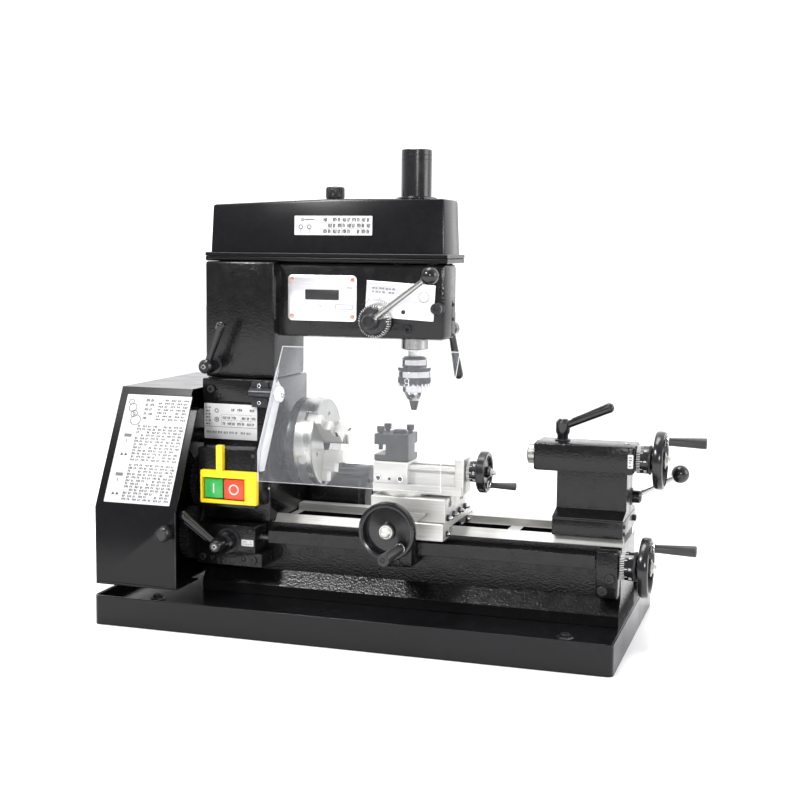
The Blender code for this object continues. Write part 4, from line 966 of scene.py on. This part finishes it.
# ---------------------------------------------------------------- charts and plates
def quarter(n):
    """Deterministic spread between 0 and 1 for the marks on the charts."""
    return (n * 7919 % 97) / 97.0


def mark_rows(s, p, x0, x1, y0, y1, rows, cols, skip=0, height=0.55, ink=1):
    """Short bars in rows and columns, standing for a table of figures."""
    w = (x1 - x0) / cols
    half = height * (y1 - y0) / rows / 2
    depth = (0.22, 0.36)
    for r in range(rows):
        y = y1 - (r + 0.5) * (y1 - y0) / rows
        for c in range(cols):
            n = r * 31 + c * 17 + skip
            if quarter(n) < 0.07:
                continue
            for d in range(2 + n % 2):
                g = x0 + (c + 0.16 + d * 0.27) * w
                s.slab(p, (g, g + w * (0.12 + 0.08 * quarter(n + d))), (y - half, y + half), depth, ink)
                level = y + half * (0.8, 0.0, -0.8, 0.5)[(n + d) % 4]
                s.slab(p, (g, g + w * 0.21), (level - half * 0.34, level + half * 0.34), depth, ink)


def ring_mark(s, p, x, y, r, w=0.8, ink=1):
    """Circle printed on a chart."""
    s.loop(p.moved(x, y), [(r - w, 0.24), (r, 0.24), (r, 0.36), (r - w, 0.36)], 28, ink)


def rules(s, p, places, reach, depth, ink=3, upright=True, half=0.12):
    """Thin ruled lines of a chart, upright or level."""
    for place in places:
        across = (place - half, place + half)
        s.slab(p, across if upright else reach, reach if upright else across, depth, ink)


def gear_chart():
    """Chart on the slanted face of the gear cover."""
    slope = Vector((0, 65.0, 127.1))
    cover = low_corner("gear_cover")
    p = Place((middle("gear_cover").x, cover.y, 127.5), (1, 0, 0), slope)
    length = slope.length
    x0, x1, y0, y1 = -40.0, 40.0, length * 0.045, length * 0.935
    h = y1 - y0
    s = Shape()
    s.plate(p, (x0, x1), (y0, y1), (0.05, 0.30), 0.8, 0, 0.08)
    s.plate(p, (x0 - 1.0, x1 + 1.0), (y0 - 1.0, y1 + 1.0), (0.03, 0.16), 1.2, 2, 0.06)
    for x, y, r in ((-33, 0.93, 3.4), (-30, 0.875, 5.2), (-27, 0.82, 4.4), (-23.5, 0.76, 6.4),
                    (-27, 0.82, 1.8)):
        ring_mark(s, p, x, y0 + h * y, r)
    mark_rows(s, p, -16, -4, y0 + h * 0.76, y0 + h * 0.97, 5, 2, 3)
    mark_rows(s, p, 0, 38, y0 + h * 0.76, y0 + h * 0.97, 7, 5, 11)
    for k, (low, high) in enumerate(((0.38, 0.72), (0.02, 0.36))):
        s.slab(p, (x0 + 1, x1 - 1), (y0 + h * (high + 0.012), y0 + h * (high + 0.014)), (0.24, 0.34), 3)
        s.slab(p, (-33, -24), (y0 + h * (high - 0.12), y0 + h * (high - 0.09)), (0.24, 0.36), 3)
        for x in (-31, -26):
            s.prism(p.moved(x, y0 + h * (low + 0.05)), [(-2, 0), (2, 0), (0, 3.4)], (0.24, 0.36), 1)
        s.slab(p, (-29.5, -28.7), (y0 + h * (high - 0.17), y0 + h * (high - 0.14)), (0.24, 0.36), 1)
        mark_rows(s, p, -20, 38, y0 + h * low, y0 + h * high, 12, 9, 40 + 50 * k, 0.62)
        lines = [y0 + h * (low + (high - low) * r / 12) for r in range(1, 12)]
        rules(s, p, lines, (-20, 38.6), (0.24, 0.31), upright=False, half=0.09)
    rules(s, p, (-18.5, 5.5, 22.0), (y0 + 2, y0 + h * 0.73), (0.24, 0.32))
    s.make("gear_chart", CHART, "side_cover")


def speed_chart():
    """Chart on the front of the belt cover, which leans back a little."""
    p = Place((-53, -19.75, 437.6), (1, 0, 0), (0, 0.0373, 1))
    s = Shape()
    s.plate(p, (-45.6, 45.6), (-10.6, 10.6), (0.30, 0.52), 0.8, 0, 0.08)
    q = p.moved(0, 0, 0.24)
    depth = (0.22, 0.34)
    rules(s, q, (-13, -1.5, 10, 21.5, 33), (-9.4, 9.4), depth)
    rules(s, q, (3.0, -3.2), (-19, 44), depth, upright=False)
    mark_rows(s, q, -12, 44, -9.6, 9.6, 3, 10, 5, 0.62)
    for x, y, r in ((-38, -1.6, 2.6), (-28, -1.6, 2.6), (-36, 6.4, 1.7)):
        ring_mark(s, q, x, y, r)
    rules(s, q, (-38, -28), (-9, -4), depth, 1, half=0.2)
    s.slab(q, (-33.5, -22), (5.8, 7.0), depth, 3)
    s.make("speed_chart", CHART, "top_cover")


def name_plate():
    """Blank aluminium plate with four rivets, ruled lines, two boxes and a dark panel."""
    p = facing("F", -66.2, ARM_FRONT, 357.6)
    s = Shape()
    s.plate(p, (-40.6, 40.6), (-25.4, 25.4), (0.05, 0.95), 4.5, 0, 0.3)
    for sx in (-1, 1):
        for sy in (-1, 1):
            s.rings(p.moved(sx * 35.6, sy * 20.4, 0.9), [(0, 0), (2.7, 0), (2.3, 0.7), (0, 1.0)], 24, 1)
    for y in (-9.4, -14.2):
        for x in (-36, -22, -8, 6, 20):
            s.slab(p, (x, x + 10.5), (y - 0.18, y + 0.18), (0.93, 1.02), 2)
    for x in (-22, 16):
        rules(s, p, (-11.8, -7.0), (x - 0.2, x + 20.2), (0.93, 1.04), 2, False, 0.2)
        rules(s, p, (x, x + 20), (-12.0, -6.8), (0.93, 1.04), 2, half=0.2)
    s.plate(p, (-20, 20), (-2.0, 9.4), (0.9, 1.10), 1.2, 3, 0.1)
    s.slab(p, (29.5, 35.5), (11.4, 12.3), (0.93, 1.04), 2)
    s.make("name_plate", ["aluminium", "copper", "label_grey", "label_ink"], "base", "ground_steel")


def depth_plate():
    """Slightly tilted plate behind the feed dial, with its arc of graduations and a stud."""
    p = Place((24.6, ARM_FRONT, 356.4), (1, 0, -0.055), (0.02, 0, 1))
    s = Shape()
    s.plate(p, (-39.4, 39.4), (-19.6, 19.6), (0.05, 0.75), 0.8, 0, 0.2)
    centre = p(-26.6, -21.9, 0.0)
    for k in range(15):
        t = math.radians(52 + 6.2 * k)
        a = p.u * math.cos(t) + p.v * math.sin(t)
        reach = (20.2, 24.0 if k % 5 == 0 else 22.4)
        s.slab(Place(centre, a, p.n.cross(a)), reach, (-0.28, 0.28), (0.7, 0.84), 1)
    q = p.moved(0, 0, 0.42)
    ring_mark(s, q, 27, 6, 6.0, 0.5, 2)
    s.rings(p.moved(4.6, -12.0, 0.7), [(0, 0), (2.5, 0), (2.2, 0.9), (1.1, 1.2), (1.1, 0.7), (0, 0.7)], 24,
            [3, 3, 3, 3, 1])
    mark_rows(s, q, -33, -6, 6, 14, 2, 7, 9, 0.45, 2)
    s.make("depth_plate", ["aluminium", "label_ink", "label_grey", "blackened_steel"], "base", "ground_steel")


def headstock_chart():
    """Speed table on the headstock's front."""
    p = facing("F", -165.6, HEAD_FRONT, 217.4)
    s = Shape()
    s.plate(p, (-32.4, 32.4), (-20.0, 20.0), (0.05, 0.40), 0.8, 0, 0.1)
    s.slab(p, (-32.2, 32.2), (-6.4, -6.0), (0.32, 0.44), 1)
    rules(s, p, (-11, 1, 13, 25), (-5.4, 8.0), (0.32, 0.42))
    rules(s, p, (8.0, 1.4), (-11, 31), (0.32, 0.42), upright=False)
    q = p.moved(0, 0, 0.10)
    mark_rows(s, q, -10.5, 31, -5.6, 7.6, 2, 7, 21, 0.45, 3)
    mark_rows(s, q, 0, 30, 10.0, 17.0, 1, 4, 2, 0.4, 3)
    mark_rows(s, q, -31, -24, -5, 17, 6, 2, 2, 0.5)
    for y, r in ((12, 2.4), (2, 2.8), (2, 1.2)):
        ring_mark(s, q, -17, y, r)
    mark_rows(s, q, -30, 26, -15.0, -10.0, 1, 16, 7, 0.5, 3)
    s.make("headstock_chart", CHART, "base")


def gearbox_label():
    """Small white label on the feed gearbox."""
    s = Shape()
    p = facing("F", -134.2, GEARBOX_FRONT, 85.8)
    s.plate(p, (-7.2, 7.2), (-3.6, 3.6), (0.05, 0.35), 0.6, 0, 0.1)
    mark_rows(s, p.moved(0, 0, 0.05), -6, 6, -2.6, 2.6, 2, 4, 13, 0.4, 1)
    s.make("gearbox_label", ["label_white", "label_grey"], "base")


# ---------------------------------------------------------------- tray
def tray_details():
    """Rolled rim of the chip tray and the bolts through its floor."""
    s = Shape()
    p = facing("Z", 0, 0, high_corner("chip_tray").z)
    for y in (-144.7, 144.7):
        s.plate(p, (-279, 279), (y - 0.9, y + 0.9), (-1.0, 0.35), 0.8, 0, 0.3)
    for x in (-283.7, 283.7):
        s.plate(p, (x - 0.9, x + 0.9), (-140, 140), (-1.0, 0.35), 0.8, 0, 0.3)
    s.make("tray_rim", ["sheet_black"], "base")
    s = Shape()
    for x in (-230, 230):
        for y in (-100, 100):
            p = facing("Z", x, y, 22.0)
            s.rings(p, [(0, 0.05), (9, 0.05), (8.4, 1.2), (0, 1.2)], 6)
            s.screw(p.moved(0, 0, 1.0), 5.2, 3.4, 0, 1)
    s.make("tray_bolts", ["blackened_steel", "label_ink"], "base")


# ---------------------------------------------------------------- stage, lights and camera
def backdrop():
    """World light that is brightest behind the machine."""
    world = bpy.data.worlds.new("studio")
    bpy.context.scene.world = world
    world.use_nodes = True
    tree = world.node_tree
    back = tree.nodes["Background"]
    back.inputs["Color"].default_value = (0.985, 0.985, 1.0, 1)
    coord = tree.nodes.new("ShaderNodeTexCoord")
    split = tree.nodes.new("ShaderNodeSeparateXYZ")
    ramp = tree.nodes.new("ShaderNodeMapRange")
    ramp.interpolation_type = "SMOOTHSTEP"
    for name, value in (("From Min", -0.7), ("From Max", 0.75), ("To Min", 0.42), ("To Max", 1.75)):
        ramp.inputs[name].default_value = value
    tree.links.new(coord.outputs["Generated"], split.inputs["Vector"])
    tree.links.new(split.outputs["Y"], ramp.inputs["Value"])
    tree.links.new(ramp.outputs["Result"], back.inputs["Strength"])


def white_floor():
    half, level = 7.0, -0.0002
    mesh = bpy.data.meshes.new("floor")
    corners = [(-half, -half, level), (half, -half, level), (half, half, level), (-half, half, level)]
    mesh.from_pydata(corners, [], [(0, 1, 2, 3)])
    mesh.materials.append(finish("floor_paper", (0.97, 0.97, 0.975), rough=0.65, vary=0.01, grain=3,
                                 bump=0.02, bump_scale=40, specular=0.2))
    ground = bpy.data.objects.new("floor", mesh)
    bpy.context.scene.collection.objects.link(ground)


def lamp(name, place, size, power, size_y=None):
    """Area light aimed at the middle of the machine."""
    data = bpy.data.lights.new(name, "AREA")
    data.energy = power
    data.size = size
    if size_y:
        data.shape = "RECTANGLE"
        data.size_y = size_y
    holder = bpy.data.objects.new(name, data)
    holder.location = place
    holder.rotation_euler = (Vector((0, 0, 0.2)) - Vector(place)).to_track_quat("-Z", "Y").to_euler()
    bpy.context.scene.collection.objects.link(holder)


def studio():
    """Pale floor, bright backdrop and four soft lights."""
    backdrop()
    white_floor()
    lamp("key", (-1.0, -1.7, 1.8), 0.45, 42)
    lamp("top", (-0.2, 0.1, 2.2), 1.2, 30, 0.8)
    lamp("fill", (0.9, -2.1, 0.9), 0.35, 14)
    lamp("side", (2.2, 0.2, 0.9), 1.2, 22)
    bpy.context.scene.view_settings.view_transform = "Standard"


def camera():
    """Seen from the front, a little to the right and slightly down."""
    data = bpy.data.cameras.new("camera")
    data.sensor_width = 36.0
    data.lens = 60.9615
    data.clip_start = 0.05
    data.clip_end = 100.0
    yaw, pitch, roll = math.radians(17.56), math.radians(6.48), math.radians(0.57)
    ahead = Vector((-math.sin(yaw) * math.cos(pitch), math.cos(yaw) * math.cos(pitch), -math.sin(pitch)))
    level = Vector((math.cos(yaw), math.sin(yaw), 0))
    steep = level.cross(ahead)
    right = level * math.cos(roll) + steep * math.sin(roll)
    up = steep * math.cos(roll) - level * math.sin(roll)
    turn = Matrix((right, up, -ahead)).transposed().to_4x4()
    eye = bpy.data.objects.new("camera", data)
    eye.matrix_world = Matrix.Translation(at(472.5, -1430.1, 415.8)) @ turn
    bpy.context.scene.collection.objects.link(eye)
    bpy.context.scene.camera = eye


finishes_by_face()
bed_screws()
carriage_details()
headstock_details()
chuck_details()
jaw_teeth()
gear_cover_details()
belt_cover_details()
cover_knobs()
motor_details()
arm_details()
feed_dial_details()
drill_chuck_details()
wheels()
lever_details()
tailstock_details()
switch_details()
guard_details()
gear_chart()
speed_chart()
name_plate()
depth_plate()
headstock_chart()
gearbox_label()
tray_details()
studio()
camera()

bpy.context.view_layer.update()
